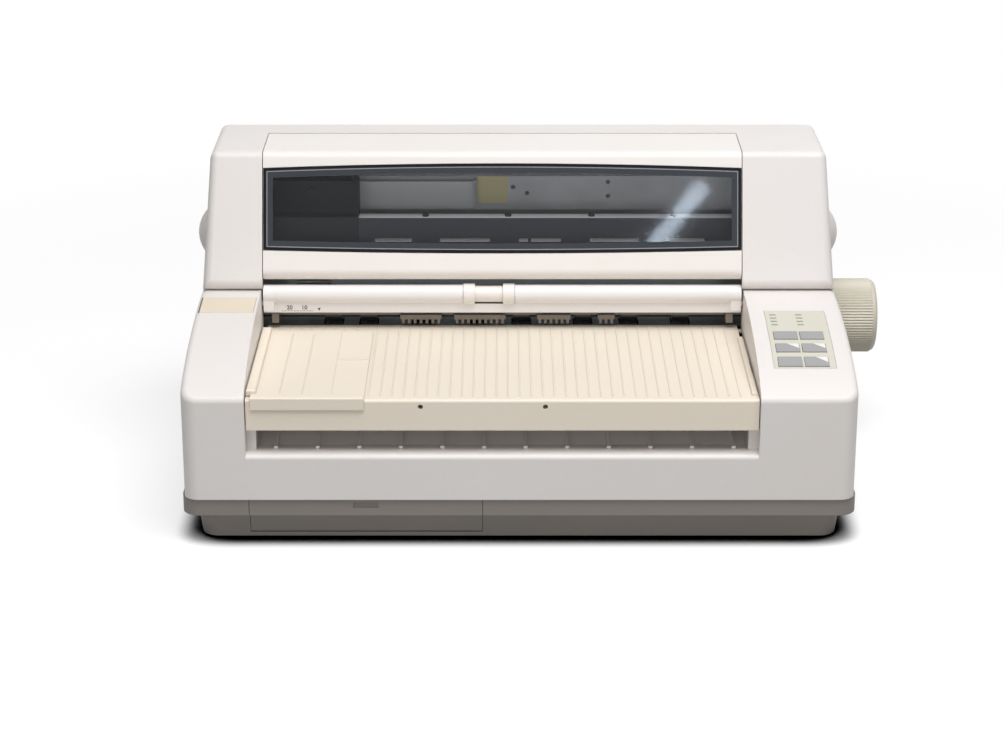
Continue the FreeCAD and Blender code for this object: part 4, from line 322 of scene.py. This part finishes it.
def openness(tree, reach, samples=6):
    """One in open places and less in corners and near other surfaces; it places the painted shade and dust in corners
    and the floor's painted contact shadow.
    """
    made = node_of(tree, "ShaderNodeAmbientOcclusion", samples=samples)
    set_inputs(made, Distance=reach)
    return made.outputs["AO"]


def moulded(name, colour, roughness=None, grain=1.0, ageing=1.0, dust_and_shade=0.25, edge=1.0, gloss=0.5):
    """Textured moulded plastic: fine grain, faint clouding, ageing, dust and painted shade in corners and softened
    edges.
    """
    finish = settings("finish")
    colours = settings("colours")
    material, tree, shader = new_material(name)
    place = object_coordinates(tree)
    cloud = remapped(tree, noise_texture(tree, place, scale=5.5, detail=4.0), low=0.35, high=0.72)
    aged = mixed(tree, product(tree, cloud, finish.ageing * ageing), colour, colours.aged)
    speck_noise = noise_texture(tree, place, scale=240.0, detail=2.0)
    speck = remapped(tree, speck_noise, low=0.62, high=0.80, to_high=0.05)
    specked = mixed(tree, speck, aged, colours.grime)
    # Painted shade: corners found by ambient occlusion are darkened toward the grime colour, as dust and as the shade
    # that falls there.
    corner = remapped(tree, openness(tree, finish.corner_dust), low=0.35, high=0.95, to_low=dust_and_shade, to_high=0.0)
    smudge_noise = noise_texture(tree, place, scale=34.0, detail=3.0)
    smudge = remapped(tree, smudge_noise, low=0.25, high=0.65, to_low=0.45)
    dusted_and_shaded = mixed(tree, product(tree, corner, smudge), specked, colours.grime)
    tree.links.new(dusted_and_shaded, shader.inputs["Base Color"])
    base = finish.roughness if roughness is None else roughness
    touch_noise = noise_texture(tree, place, scale=18.0, detail=4.0)
    handled = remapped(tree, touch_noise, low=0.3, high=0.7, to_low=base - 0.07, to_high=base + 0.07)
    tree.links.new(handled, shader.inputs["Roughness"])
    fine = noise_texture(tree, place, scale=1.0 / (finish.grain * grain), detail=2.0, roughness=0.6)
    bump = bumped(tree, fine, distance=finish.grain_depth * grain, strength=0.5, edge=finish.edge * edge)
    tree.links.new(bump, shader.inputs["Normal"])
    set_inputs(shader, IOR=1.49, Specular_IOR_Level=gloss)
    return material


def sheet_metal(name, colour, roughness=0.34, along=(1.0, 26.0, 26.0), tarnish=0.3, metallic=1.0):
    """Sheet or bar steel with rolling marks and dull patches."""
    material, tree, shader = new_material(name)
    place = object_coordinates(tree)
    rolled = noise_texture(tree, stretched(tree, place, along), scale=60.0, detail=4.0, roughness=0.65)
    patch = remapped(tree, noise_texture(tree, place, scale=26.0, detail=5.0), low=0.4, high=0.72)
    toned = mixed(tree, product(tree, patch, tarnish), colour, scaled(colour, 0.55))
    tree.links.new(toned, shader.inputs["Base Color"])
    rough = remapped(tree, rolled, low=0.25, high=0.75, to_low=roughness - 0.08, to_high=roughness + 0.14)
    tree.links.new(rough, shader.inputs["Roughness"])
    tree.links.new(bumped(tree, rolled, distance=0.02 * MM, strength=0.4, edge=0.25 * MM), shader.inputs["Normal"])
    set_inputs(shader, Metallic=metallic)
    return material


def rubber(name, colour):
    """Ground rubber with a dusting of paper fibre."""
    material, tree, shader = new_material(name)
    place = object_coordinates(tree)
    ground = noise_texture(tree, stretched(tree, place, (5.0, 1.0, 1.0)), scale=420.0, detail=3.0)
    fibre_noise = noise_texture(tree, place, scale=90.0, detail=5.0)
    fibre = remapped(tree, fibre_noise, low=0.5, high=0.75, to_high=0.22)
    tree.links.new(mixed(tree, fibre, colour, settings("colours").fibre), shader.inputs["Base Color"])
    rough = remapped(tree, ground, low=0.3, high=0.7, to_low=0.62, to_high=0.85)
    tree.links.new(rough, shader.inputs["Roughness"])
    tree.links.new(bumped(tree, ground, distance=0.05 * MM, strength=0.6), shader.inputs["Normal"])
    return material


def smoked_acrylic(name, colour):
    """The smoked window: a dark see-through sheet with fine wiping marks.

    Its alpha thins its shine too, so the shine is set stronger.
    """
    material, tree, shader = new_material(name)
    place = object_coordinates(tree)
    wipe = noise_texture(tree, stretched(tree, place, (2.0, 30.0, 30.0)), scale=22.0, detail=4.0)
    shader.inputs["Base Color"].default_value = rgba(colour)
    rough = remapped(tree, wipe, low=0.35, high=0.75, to_low=0.01, to_high=0.09)
    tree.links.new(rough, shader.inputs["Roughness"])
    wave = noise_texture(tree, place, scale=9.0, detail=1.0)
    tree.links.new(bumped(tree, wave, distance=0.12 * MM, strength=0.25), shader.inputs["Normal"])
    set_inputs(shader, IOR=1.49, Alpha=0.12, Specular_IOR_Level=1.0)
    return material


def printed(name, colour, roughness=0.42, gloss=0.5):
    """Screen print or film: flat ink with a faint weave."""
    material, tree, shader = new_material(name)
    place = object_coordinates(tree)
    weave = noise_texture(tree, place, scale=700.0, detail=2.0)
    thin = remapped(tree, weave, low=0.3, high=0.7, to_high=0.16)
    tree.links.new(mixed(tree, thin, colour, scaled(colour, 0.8)), shader.inputs["Base Color"])
    rough = remapped(tree, weave, low=0.3, high=0.7, to_low=roughness - 0.04, to_high=roughness + 0.06)
    tree.links.new(rough, shader.inputs["Roughness"])
    tree.links.new(bumped(tree, weave, distance=0.01 * MM, strength=0.3), shader.inputs["Normal"])
    set_inputs(shader, Specular_IOR_Level=gloss)
    return material


def circuit_board(name, colour):
    """Lacquered board with faint tracks."""
    material, tree, shader = new_material(name)
    place = object_coordinates(tree)
    brick = node_of(tree, "ShaderNodeTexBrick")
    set_inputs(brick, Scale=90.0, Mortar_Size=0.03, Bias=-0.2)
    brick.inputs["Color1"].default_value = rgba(colour)
    brick.inputs["Color2"].default_value = rgba(scaled(colour, 1.25))
    brick.inputs["Mortar"].default_value = rgba(scaled(colour, 1.9))
    tree.links.new(place, brick.inputs["Vector"])
    tree.links.new(brick.outputs["Color"], shader.inputs["Base Color"])
    rough = remapped(tree, noise_texture(tree, place, scale=80.0), low=0.3, high=0.7, to_low=0.25, to_high=0.4)
    tree.links.new(rough, shader.inputs["Roughness"])
    tree.links.new(bumped(tree, brick.outputs["Fac"], distance=0.03 * MM, strength=0.5), shader.inputs["Normal"])
    return material


def dress(material, *nodes):
    """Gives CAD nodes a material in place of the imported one."""
    for name in nodes:
        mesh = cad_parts[name].data
        mesh.materials.clear()
        mesh.materials.append(material)


def smooth(angle_degrees, *nodes):
    """Smooth shading that keeps edges over an angle sharp."""
    for name in nodes:
        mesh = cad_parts[name].data
        for polygon in mesh.polygons:
            polygon.use_smooth = True
        mesh.set_sharp_from_angle(angle=math.radians(angle_degrees))


def mesh_piece(name, vertices, faces, material, body):
    """A new mesh object that rides on a body."""
    mesh = bpy.data.meshes.new(name)
    mesh.from_pydata([tuple(vertex) for vertex in vertices], [], faces)
    made = bpy.data.objects.new(name, mesh)
    bpy.context.scene.collection.objects.link(made)
    outward = bmesh.new()
    outward.from_mesh(mesh)
    bmesh.ops.recalc_face_normals(outward, faces=outward.faces)
    outward.to_mesh(mesh)
    outward.free()
    mesh.materials.append(material)
    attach(made, body)
    return made


def slab(loop, inner, offset, normal):
    """Vertices and faces of a flat ring between two loops of equal length, given a thickness."""
    count = len(loop)
    lift = 2 * count
    low = loop + inner
    vertices = low + [point + normal * offset for point in low]
    faces = []
    for index in range(count):
        following = (index + 1) % count
        outer_pair = (index, following)
        inner_pair = (count + index, count + following)
        faces.append((outer_pair[0], outer_pair[1], inner_pair[1], inner_pair[0]))
        faces.append((outer_pair[0] + lift, inner_pair[0] + lift, inner_pair[1] + lift, outer_pair[1] + lift))
        faces.append((outer_pair[0], outer_pair[0] + lift, outer_pair[1] + lift, outer_pair[1]))
        faces.append((inner_pair[0], inner_pair[1], inner_pair[1] + lift, inner_pair[0] + lift))
    return vertices, faces


def plate(name, corners, normal, thickness, material, body, slot):
    """A thin plate from its outline, thickened along its normal."""
    count = len(corners)
    vertices = corners + [corner + normal * thickness for corner in corners]
    faces = [tuple(range(count)), tuple(reversed(range(count, 2 * count)))]
    for index in range(count):
        following = (index + 1) % count
        faces.append((index, following, following + count, index + count))
    return mesh_piece(name, vertices, faces, material, body)


def upright_oblong(low_corner, width, height):
    """Corners of an oblong that faces forward."""
    start = Vector(low_corner)
    across = Vector((width, 0.0, 0.0))
    return [start, start + across, start + across + UP * height, start + UP * height]


def ribbon(left, right, thickness):
    """Vertices and faces of a thin strip between two lines of points, raised by its thickness."""
    count = len(left)
    low = left + right
    vertices = low + [point + UP * thickness for point in low]
    lift = 2 * count
    faces = []
    for index in range(count - 1):
        following = index + 1
        faces.append((index, following, count + following, count + index))
        faces.append((index + lift, count + index + lift, count + following + lift, following + lift))
        faces.append((index, index + lift, following + lift, following))
        faces.append((count + index, count + following, count + following + lift, count + index + lift))
    for index in (0, count - 1):
        faces.append((index, count + index, count + index + lift, index + lift))
    return vertices, faces


def arc_points(start, middle, end, steps):
    """Points on a shallow arc, close enough to a circle for so small a rise."""
    points = []
    for step in range(steps + 1):
        share = step / steps
        bow = 4 * share * (1 - share)
        points.append(start.lerp(end, share) + (middle - start.lerp(end, 0.5)) * bow)
    return points


class PRINTER_OT_stage(bpy.types.Operator):
    """Sets the camera, the pale floor and the soft light"""

    bl_idname = "printer.stage"
    bl_label = "Stage"

    def execute(self, context):
        stage = settings("stage")
        self.camera(context, stage)
        self.floor(stage)
        self.lamps(stage)
        self.sky(context, stage)
        context.scene.view_settings.view_transform = "Standard"
        return {"FINISHED"}

    def camera(self, context, stage):
        lens = bpy.data.cameras.new("Camera")
        lens.lens = stage.focal_length
        lens.clip_end = 100.0
        made = bpy.data.objects.new("Camera", lens)
        made.location = (MIDDLE_X - stage.camera_side, FRONT_Y - stage.camera_back, stage.camera_height)
        made.rotation_euler = (math.radians(90.0) - stage.pitch, 0.0, 0.0)
        context.scene.collection.objects.link(made)
        context.scene.camera = made

    def floor(self, stage):
        half = stage.floor_size / 2
        corners = [(-half, -half, 0.0), (half, -half, 0.0), (half, half, 0.0), (-half, half, 0.0)]
        mesh = bpy.data.meshes.new("studio_floor")
        mesh.from_pydata(corners, [], [(0, 1, 2, 3)])
        made = bpy.data.objects.new("studio_floor", mesh)
        bpy.context.scene.collection.objects.link(made)
        mesh.materials.append(self.paper(stage))

    def paper(self, stage):
        """Grey paper for light. Where it is looked at, it is lifted to white and keeps the printer's shadow."""
        colours = settings("colours")
        material, tree, shader = new_material("studio_paper")
        place = object_coordinates(tree)
        grain_noise = noise_texture(tree, place, scale=300.0, detail=2.0)
        grain = remapped(tree, grain_noise, low=0.3, high=0.7, to_high=0.3)
        tree.links.new(mixed(tree, grain, colours.paper, colours.paper_grain), shader.inputs["Base Color"])
        set_inputs(shader, Roughness=0.9, Specular_IOR_Level=0.1)
        shaded = node_of(tree, "ShaderNodeBsdfDiffuse")
        shaded.inputs["Color"].default_value = rgba(scaled(WHITE, stage.shadow))
        glow = node_of(tree, "ShaderNodeEmission")
        set_inputs(glow, Strength=1.0 - stage.shadow * stage.shadow_level)
        lifted = node_of(tree, "ShaderNodeAddShader")
        tree.links.new(shaded.outputs["BSDF"], lifted.inputs[0])
        tree.links.new(glow.outputs["Emission"], lifted.inputs[1])
        # The second shader is left empty, so the floor goes black where the printer almost touches it: a painted
        # contact shadow.
        grounded = node_of(tree, "ShaderNodeMixShader")
        open_share = openness(tree, stage.contact_reach, samples=24)
        contact = remapped(tree, open_share, low=0.55, high=0.98, to_low=1.0, to_high=0.0)
        tree.links.new(contact, grounded.inputs["Fac"])
        tree.links.new(lifted.outputs["Shader"], grounded.inputs[1])
        white = node_of(tree, "ShaderNodeEmission")
        set_inputs(white, Strength=1.0)
        distance = node_of(tree, "ShaderNodeVectorMath", operation="LENGTH")
        tree.links.new(place, distance.inputs[0])
        away = remapped(tree, distance.outputs["Value"], stage.shadow_reach / 2, stage.shadow_reach)
        seen = node_of(tree, "ShaderNodeMixShader")
        tree.links.new(away, seen.inputs["Fac"])
        tree.links.new(grounded.outputs["Shader"], seen.inputs[1])
        tree.links.new(white.outputs["Emission"], seen.inputs[2])
        both = node_of(tree, "ShaderNodeMixShader")
        tree.links.new(looked_at(tree), both.inputs["Fac"])
        tree.links.new(shader.outputs["BSDF"], both.inputs[1])
        tree.links.new(seen.outputs["Shader"], both.inputs[2])
        tree.links.new(both.outputs["Shader"], tree.nodes["Material Output"].inputs["Surface"])
        return material

    def lamps(self, stage):
        for lamp in LAMPS:
            light = bpy.data.lights.new(lamp.name, "AREA")
            light.shape = "RECTANGLE"
            light.size, light.size_y = lamp.size
            light.energy = getattr(stage, lamp.power)
            light.color = lamp.colour
            made = bpy.data.objects.new(lamp.name, light)
            made.location = lamp.place
            aim = (LAMP_TARGET - Vector(lamp.place)).to_track_quat("-Z", "Y").to_matrix().to_4x4()
            made.rotation_euler = (aim @ Matrix.Rotation(math.radians(lamp.turn), 4, "Z")).to_euler()
            bpy.context.scene.collection.objects.link(made)

    def sky(self, context, stage):
        world = bpy.data.worlds.new("studio_sky")
        context.scene.world = world
        world.use_nodes = True
        tree = world.node_tree
        light = tree.nodes["Background"]
        light.inputs["Color"].default_value = rgba(settings("colours").sky)
        light.inputs["Strength"].default_value = stage.sky
        seen = node_of(tree, "ShaderNodeBackground")
        seen.inputs["Color"].default_value = rgba(WHITE)
        blend = node_of(tree, "ShaderNodeMixShader")
        tree.links.new(looked_at(tree), blend.inputs["Fac"])
        tree.links.new(light.outputs["Background"], blend.inputs[1])
        tree.links.new(seen.outputs["Background"], blend.inputs[2])
        tree.links.new(blend.outputs["Shader"], tree.nodes["World Output"].inputs["Surface"])


class PRINTER_OT_cases(bpy.types.Operator):
    """Finishes the lower case, the tower, its side caps, the base, its door and the feet"""

    bl_idname = "printer.cases"
    bl_label = "Cases"

    def execute(self, context):
        colours = settings("colours")
        dress(moulded("case_plastic", colours.case, dust_and_shade=0.2), "lower_case")
        dress(moulded("tower_plastic", colours.tower, dust_and_shade=0.2), "upper_case", "side_caps")
        dress(moulded("base_plastic", colours.base, roughness=0.6, grain=1.4, ageing=0.3), "base_tray", "base_door")
        dress(rubber("foot_rubber", colours.black), "rubber_feet")
        smooth(SMOOTH_ANGLE, "lower_case", "upper_case", "side_caps", "base_tray", "base_door", "rubber_feet")
        return {"FINISHED"}


class PRINTER_OT_front_cover(bpy.types.Operator):
    """Finishes the front cover and its smoked window with the black printed mask"""

    bl_idname = "printer.front_cover"
    bl_label = "Front cover"

    def execute(self, context):
        colours = settings("colours")
        dress(moulded("cover_plastic", colours.cover, dust_and_shade=0.2), "front_cover")
        dress(smoked_acrylic("smoked_acrylic", colours.smoke), "cover_window")
        smooth(SMOOTH_ANGLE, "front_cover", "cover_window")
        self.mask(
            printed("window_mask", colours.mask, roughness=0.3, gloss=0.12),
            printed("window_rim", colours.rim),
            printed("window_shade", colours.shade, roughness=0.3, gloss=0.2),
        )
        return {"FINISHED"}

    def mask(self, black, rim, shade):
        """Three rings over the cover's ledge: a printed black edge, a thin line of painted highlight and a dark shade.
        """
        sizes = settings("sizes")
        low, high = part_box("cover_window")
        up_slope = Vector((0.0, math.sin(WINDOW_LEAN), math.cos(WINDOW_LEAN)))
        outward = Vector((0.0, -math.cos(WINDOW_LEAN), math.sin(WINDOW_LEAN)))
        face_rise = outward.z * sizes.pane_thickness
        foot = Vector((0.0, low.y, low.z + face_rise)) - up_slope * sizes.window_low_middle
        foot += outward * sizes.film_lift

        def place(x, height):
            return Vector((x, 0.0, 0.0)) + foot + up_slope * height

        def loop(inset):
            left = low.x + inset
            right = high.x - inset
            middle = (left + right) / 2
            low_end = sizes.window_low_end + inset
            high_end = sizes.window_high_end - inset
            lowest = place(middle, sizes.window_low_middle + inset)
            highest = place(middle, sizes.window_high_middle - inset)
            lower = arc_points(place(left, low_end), lowest, place(right, low_end), WINDOW_ARC_STEPS)
            upper = arc_points(place(right, high_end), highest, place(left, high_end), WINDOW_ARC_STEPS)
            return lower + upper

        edge = sizes.mask_width
        line = edge + sizes.rim_width
        rings = (
            ("window_mask", sizes.mask_inset, edge, black),
            # The thin light line is a painted highlight for the lit edge of the opening.
            ("window_rim_line", edge, line, rim),
            ("window_shade", line, sizes.ledge_width, shade),
        )
        for name, outer, inner, material in rings:
            vertices, faces = slab(loop(outer), loop(inner), sizes.mask_thickness, outward)
            mesh_piece(name, vertices, faces, material, "cover")


class PRINTER_OT_guide_bar(bpy.types.Operator):
    """Finishes the paper guide bar, its grip and its end caps, and prints the scale"""

    bl_idname = "printer.guide_bar"
    bl_label = "Guide bar"

    def execute(self, context):
        colours = settings("colours")
        bar = moulded("bar_plastic", colours.bar, ageing=0.3, dust_and_shade=0.0, gloss=0.3)
        dress(bar, "paper_guide_bar", "bar_end_caps")
        dress(moulded("grip_plastic", colours.cover, roughness=0.4, dust_and_shade=0.3), "bar_handle")
        smooth(SMOOTH_ANGLE, "paper_guide_bar", "bar_end_caps", "bar_handle")
        self.scale(printed("scale_ink", colours.ink))
        return {"FINISHED"}

    def scale(self, ink):
        """Ruled columns with their numbers, counted down to the pointer at the print line's start."""
        sizes = settings("sizes")
        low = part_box("paper_guide_bar")[0]
        face_y = low.y + sizes.flange_setback - sizes.film_lift
        base_z = low.z + sizes.scale_margin
        first_x = low.x + sizes.scale_start
        for column in range(STROKE_COUNT):
            at_number = (POINTER_COLUMN - column) % NUMBER_STEP == 0
            height = sizes.tick_height * (LONG_STROKE if at_number else 1.0)
            corners = upright_oblong((first_x + column * sizes.column, face_y, base_z), sizes.tick_width, height)
            self.film("scale_tick_%02d" % column, corners, ink)
        digits_z = base_z + NUMERAL_RISE * sizes.tick_height
        for number in SCALE_NUMBERS:
            place = Vector((first_x + (POINTER_COLUMN - number) * sizes.column, face_y, digits_z))
            self.numeral(str(number), place, ink)
        tip = first_x + POINTER_COLUMN * sizes.column
        half = sizes.digit_height / 3
        corners = [
            Vector((tip - half, face_y, digits_z + half)),
            Vector((tip, face_y, digits_z - half)),
            Vector((tip + half, face_y, digits_z + half)),
        ]
        self.film("scale_pointer", corners, ink)

    def film(self, name, corners, ink):
        plate(name, corners, FORWARD, settings("sizes").mask_thickness, ink, "guide_bar", "black_plastic")

    def numeral(self, word, place, ink):
        sizes = settings("sizes")
        text = bpy.data.curves.new("scale_" + word, "FONT")
        text.body = word
        text.size = sizes.digit_height * NUMERAL_SIZE
        text.align_x = "CENTER"
        text.extrude = sizes.mask_thickness / 2
        text.offset = sizes.digit_weight
        text.materials.append(ink)
        made = bpy.data.objects.new("scale_" + word, text)
        made.location = place
        made.rotation_euler = (math.radians(90.0), 0.0, 0.0)
        bpy.context.scene.collection.objects.link(made)
        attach(made, "guide_bar")


class PRINTER_OT_paper_table(bpy.types.Operator):
    """Finishes the ribbed paper table and its sliding edge guide"""

    bl_idname = "printer.paper_table"
    bl_label = "Paper table"

    def execute(self, context):
        colours = settings("colours")
        dress(moulded("table_plastic", colours.table, ageing=0.6, dust_and_shade=0.22), "paper_table")
        dress(moulded("guide_plastic", colours.table, ageing=0.4, dust_and_shade=0.3), "edge_guide")
        smooth(SMOOTH_ANGLE, "paper_table", "edge_guide")
        return {"FINISHED"}


class PRINTER_OT_control_panel(bpy.types.Operator):
    """Finishes the control sheet, the keys, the lamps and the blank plate"""

    bl_idname = "printer.control_panel"
    bl_label = "Control panel"

    def execute(self, context):
        colours = settings("colours")
        dress(printed("panel_film", colours.sheet, roughness=0.5), "control_sheet")
        dress(moulded("plate_plastic", colours.blank, roughness=0.4, dust_and_shade=0.4), "blank_plate")
        key = moulded("key_plastic", colours.key, roughness=0.5, ageing=0.1, dust_and_shade=0.5, edge=0.5)
        dress(key, *["key_%d" % number for number in range(1, KEY_COUNT + 1)])
        # Painted shade in the ink colour for the gap beside the blank plate.
        self.plate_gap(printed("gap_shade", colours.ink))
        light = printed("key_corner_ink", colours.cover)
        for number in CORNERED_KEYS:
            self.key_corner(number, light)
        dress(printed("lamp_lens", colours.lamp, roughness=0.2), "indicator_lamps")
        dress(circuit_board("board_lacquer", colours.board), "control_board", "main_board")
        return {"FINISHED"}

    def key_corner(self, number, ink):
        """A white corner printed on a key, on the flat slope of its cap."""
        sizes = settings("sizes")
        inner, middle, outer = 0.40, 0.48, 0.97
        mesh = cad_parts["key_%d" % number].data
        top = max((face for face in mesh.polygons if face.normal.z > 0.9), key=lambda face: face.center.z)
        normal = top.normal.copy()
        cap = [
            vertex.co for vertex in mesh.vertices
            if abs((vertex.co - top.center).dot(normal)) < sizes.mask_thickness
        ]
        left, right = min(point.x for point in cap), max(point.x for point in cap)
        front, rear = min(cap, key=lambda point: point.y), max(cap, key=lambda point: point.y)

        def on_cap(across, back):
            slope = front.lerp(rear, back)
            return Vector((left + (right - left) * across, slope.y, slope.z))

        outline = [on_cap(middle, outer), on_cap(outer, inner), on_cap(outer, outer)]
        plate("key_corner_%d" % number, outline, normal, sizes.mask_thickness, ink, "key_cap_%d" % number, "case_white")

    def plate_gap(self, ink):
        """A strip of painted shade for the dark gap along the blank plate's outer edge, which follows the wing's curve.
        """
        sizes = settings("sizes")
        low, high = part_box("blank_plate")
        heights = {}
        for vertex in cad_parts["blank_plate"].data.vertices:
            if vertex.co.x < low.x + sizes.mask_thickness:
                place = round(vertex.co.y, 5)
                heights[place] = max(heights.get(place, low.z), vertex.co.z)
        line = sorted(heights.items())
        left = [Vector((low.x - sizes.plate_gap, y, z)) for y, z in line]
        right = [Vector((low.x, y, z)) for y, z in line]
        vertices, faces = ribbon(left, right, sizes.mask_thickness)
        mesh_piece("blank_plate_gap", vertices, faces, ink, "printer_body")


class PRINTER_OT_paper_path(bpy.types.Operator):
    """Finishes the chute, the paper bed, the combs and the rollers"""

    bl_idname = "printer.paper_path"
    bl_label = "Paper path"

    def execute(self, context):
        colours = settings("colours")
        dress(moulded("chute_plastic", colours.chute, roughness=0.5, ageing=0.1, dust_and_shade=0.15), "front_chute")
        dress(moulded("comb_plastic", colours.comb, roughness=0.5, ageing=0.1), "paper_combs")
        dress(sheet_metal("bed_steel", colours.bed, metallic=0.6), "paper_bed")
        dress(rubber("roller_rubber", colours.black), "platen_roller", "feed_rollers")
        dress(moulded("roller_plastic", colours.black, roughness=0.4, ageing=0.0), "pinch_rollers")
        ground = sheet_metal("ground_steel", colours.bright, roughness=0.2, along=(1.0, 40.0, 40.0), tarnish=0.1)
        dress(ground, "platen_shaft", "feed_shaft", "guide_rod", "motor_pinion", "drive_pulley")
        dress(sheet_metal("bush_bronze", colours.bronze, roughness=0.4), "shaft_bushes")
        smooth(SMOOTH_ANGLE, "platen_roller", "feed_rollers", "pinch_rollers", "platen_shaft", "feed_shaft",
               "guide_rod", "shaft_bushes", "front_chute")
        return {"FINISHED"}


class PRINTER_OT_knob_and_gears(bpy.types.Operator):
    """Finishes the ribbed hand knob and the gears behind it"""

    bl_idname = "printer.knob_and_gears"
    bl_label = "Knob and gears"

    def execute(self, context):
        colours = settings("colours")
        dress(moulded("knob_plastic", colours.knob, roughness=0.45, ageing=0.5, dust_and_shade=0.4, edge=0.4), "platen_knob")
        gear = moulded("gear_plastic", colours.gear, roughness=0.35, ageing=0.3)
        dress(gear, "platen_gear", "feed_gear", "idler_gear", "idler_pulley")
        smooth(KNOB_SMOOTH_ANGLE, "platen_knob")
        return {"FINISHED"}


class PRINTER_OT_print_works(bpy.types.Operator):
    """Finishes the frames, the carriage, its ribbon and head, the belt drive and the flat cable"""

    bl_idname = "printer.print_works"
    bl_label = "Print works"

    def execute(self, context):
        colours = settings("colours")
        steel = sheet_metal("plated_steel", colours.steel, roughness=0.4, metallic=0.5)
        dress(steel, "side_frame_left", "side_frame_right", "chassis_plate", "idler_bracket", "power_supply")
        dress(sheet_metal("passivated_steel", colours.plate, roughness=0.5, metallic=0.1), "back_plate")
        dress(self.beam_paint(colours), "front_beam")
        black = moulded("black_moulding", colours.black, roughness=0.5, ageing=0.0, dust_and_shade=0.05, gloss=0.25)
        dress(black, "carriage", "ribbon_cartridge")
        dark = sheet_metal("black_coated_steel", colours.coated, roughness=0.45)
        dress(dark, "carriage_motor", "feed_motor", "beam_screws")
        dress(sheet_metal("head_alloy", colours.alloy, roughness=0.4), "print_head")
        dress(rubber("belt_rubber", colours.black), "timing_belt")
        dress(printed("cable_film", colours.film, roughness=0.25), "head_cable")
        smooth(SMOOTH_ANGLE, "carriage", "ribbon_cartridge", "carriage_motor", "feed_motor", "timing_belt",
               "head_cable")
        self.tape(printed("cable_tape", colours.tape, roughness=0.35))
        return {"FINISHED"}

    def beam_paint(self, colours):
        """Dark painted steel, with a painted highlight on its upward faces and painted shade, plain black, left of the
        ribbon cartridge's right edge.
        """
        beam = sheet_metal("beam_paint", colours.beam, roughness=0.5, metallic=0.0)
        tree = beam.node_tree
        shader = tree.nodes["Principled BSDF"]
        painted = shader.inputs["Base Color"].links[0].from_socket
        surface = node_of(tree, "ShaderNodeNewGeometry")
        facing, place = node_of(tree, "ShaderNodeSeparateXYZ"), node_of(tree, "ShaderNodeSeparateXYZ")
        tree.links.new(surface.outputs["Normal"], facing.inputs[0])
        tree.links.new(surface.outputs["Position"], place.inputs[0])
        # Painted highlight: upward faces are lightened to the plate's colour, as where light falls on the beam's top.
        upward = remapped(tree, facing.outputs["Z"], low=0.5, high=0.9)
        # Painted shade: left of the cartridge's right edge the beam is plain black, as in the shade there.
        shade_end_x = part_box("ribbon_cartridge")[1].x
        beside = remapped(tree, place.outputs["X"], low=shade_end_x, high=shade_end_x + MM)
        lit_top = mixed(tree, upward, painted, colours.plate)
        tree.links.new(mixed(tree, beside, colours.black, lit_top), shader.inputs["Base Color"])
        return beam

    def tape(self, material):
        """A strip of tape on the back plate beside the flat cable's fixed end."""
        sizes = settings("sizes")
        low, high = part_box("head_cable")
        face_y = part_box("back_plate")[0].y
        left = high.x + sizes.tape_gap
        corners = upright_oblong((left, face_y, low.z), sizes.tape_width, high.z - low.z)
        plate("cable_tape", corners, FORWARD, sizes.mask_thickness, material, "printer_body", "cable_white")


class PRINTER_OT_electrics(bpy.types.Operator):
    """Finishes the sockets and the power rocker"""

    bl_idname = "printer.electrics"
    bl_label = "Electrics"

    def execute(self, context):
        colours = settings("colours")
        black = moulded("socket_plastic", colours.black, roughness=0.4, ageing=0.0, dust_and_shade=0.4)
        dress(black, "mains_inlet", "interface_port", "switch_housing", "power_switch")
        return {"FINISHED"}


OPERATORS = (
    PRINTER_OT_stage,
    PRINTER_OT_cases,
    PRINTER_OT_front_cover,
    PRINTER_OT_guide_bar,
    PRINTER_OT_paper_table,
    PRINTER_OT_control_panel,
    PRINTER_OT_paper_path,
    PRINTER_OT_knob_and_gears,
    PRINTER_OT_print_works,
    PRINTER_OT_electrics,
)
GROUPS = (
    ("colours", PrinterColours),
    ("finish", PrinterFinish),
    ("sizes", PrinterSizes),
    ("stage", PrinterStage),
)


class PRINTER_PT_panel(bpy.types.Panel):
    """Lists the settings and the pieces that the finish makes"""

    bl_idname = "PRINTER_PT_panel"
    bl_label = "Printer"
    bl_space_type = "VIEW_3D"
    bl_region_type = "UI"
    bl_category = "Printer"

    def draw(self, context):
        for name, group in GROUPS:
            box = self.layout.box()
            box.label(text=name.capitalize())
            for key in group.__annotations__:
                box.prop(settings(name), key)
        for operator in OPERATORS:
            self.layout.operator(operator.bl_idname)


def register():
    for name, group in GROUPS:
        bpy.utils.register_class(group)
        setattr(bpy.types.Scene, "printer_" + name, PointerProperty(type=group))
    for operator in OPERATORS:
        bpy.utils.register_class(operator)
    bpy.utils.register_class(PRINTER_PT_panel)


def unregister():
    bpy.utils.unregister_class(PRINTER_PT_panel)
    for operator in reversed(OPERATORS):
        bpy.utils.unregister_class(operator)
    for name, group in reversed(GROUPS):
        delattr(bpy.types.Scene, "printer_" + name)
        bpy.utils.unregister_class(group)


def main():
    register()
    for operator in OPERATORS:
        area, name = operator.bl_idname.split(".")
        getattr(getattr(bpy.ops, area), name)()


if __name__ == "__main__":
    main()
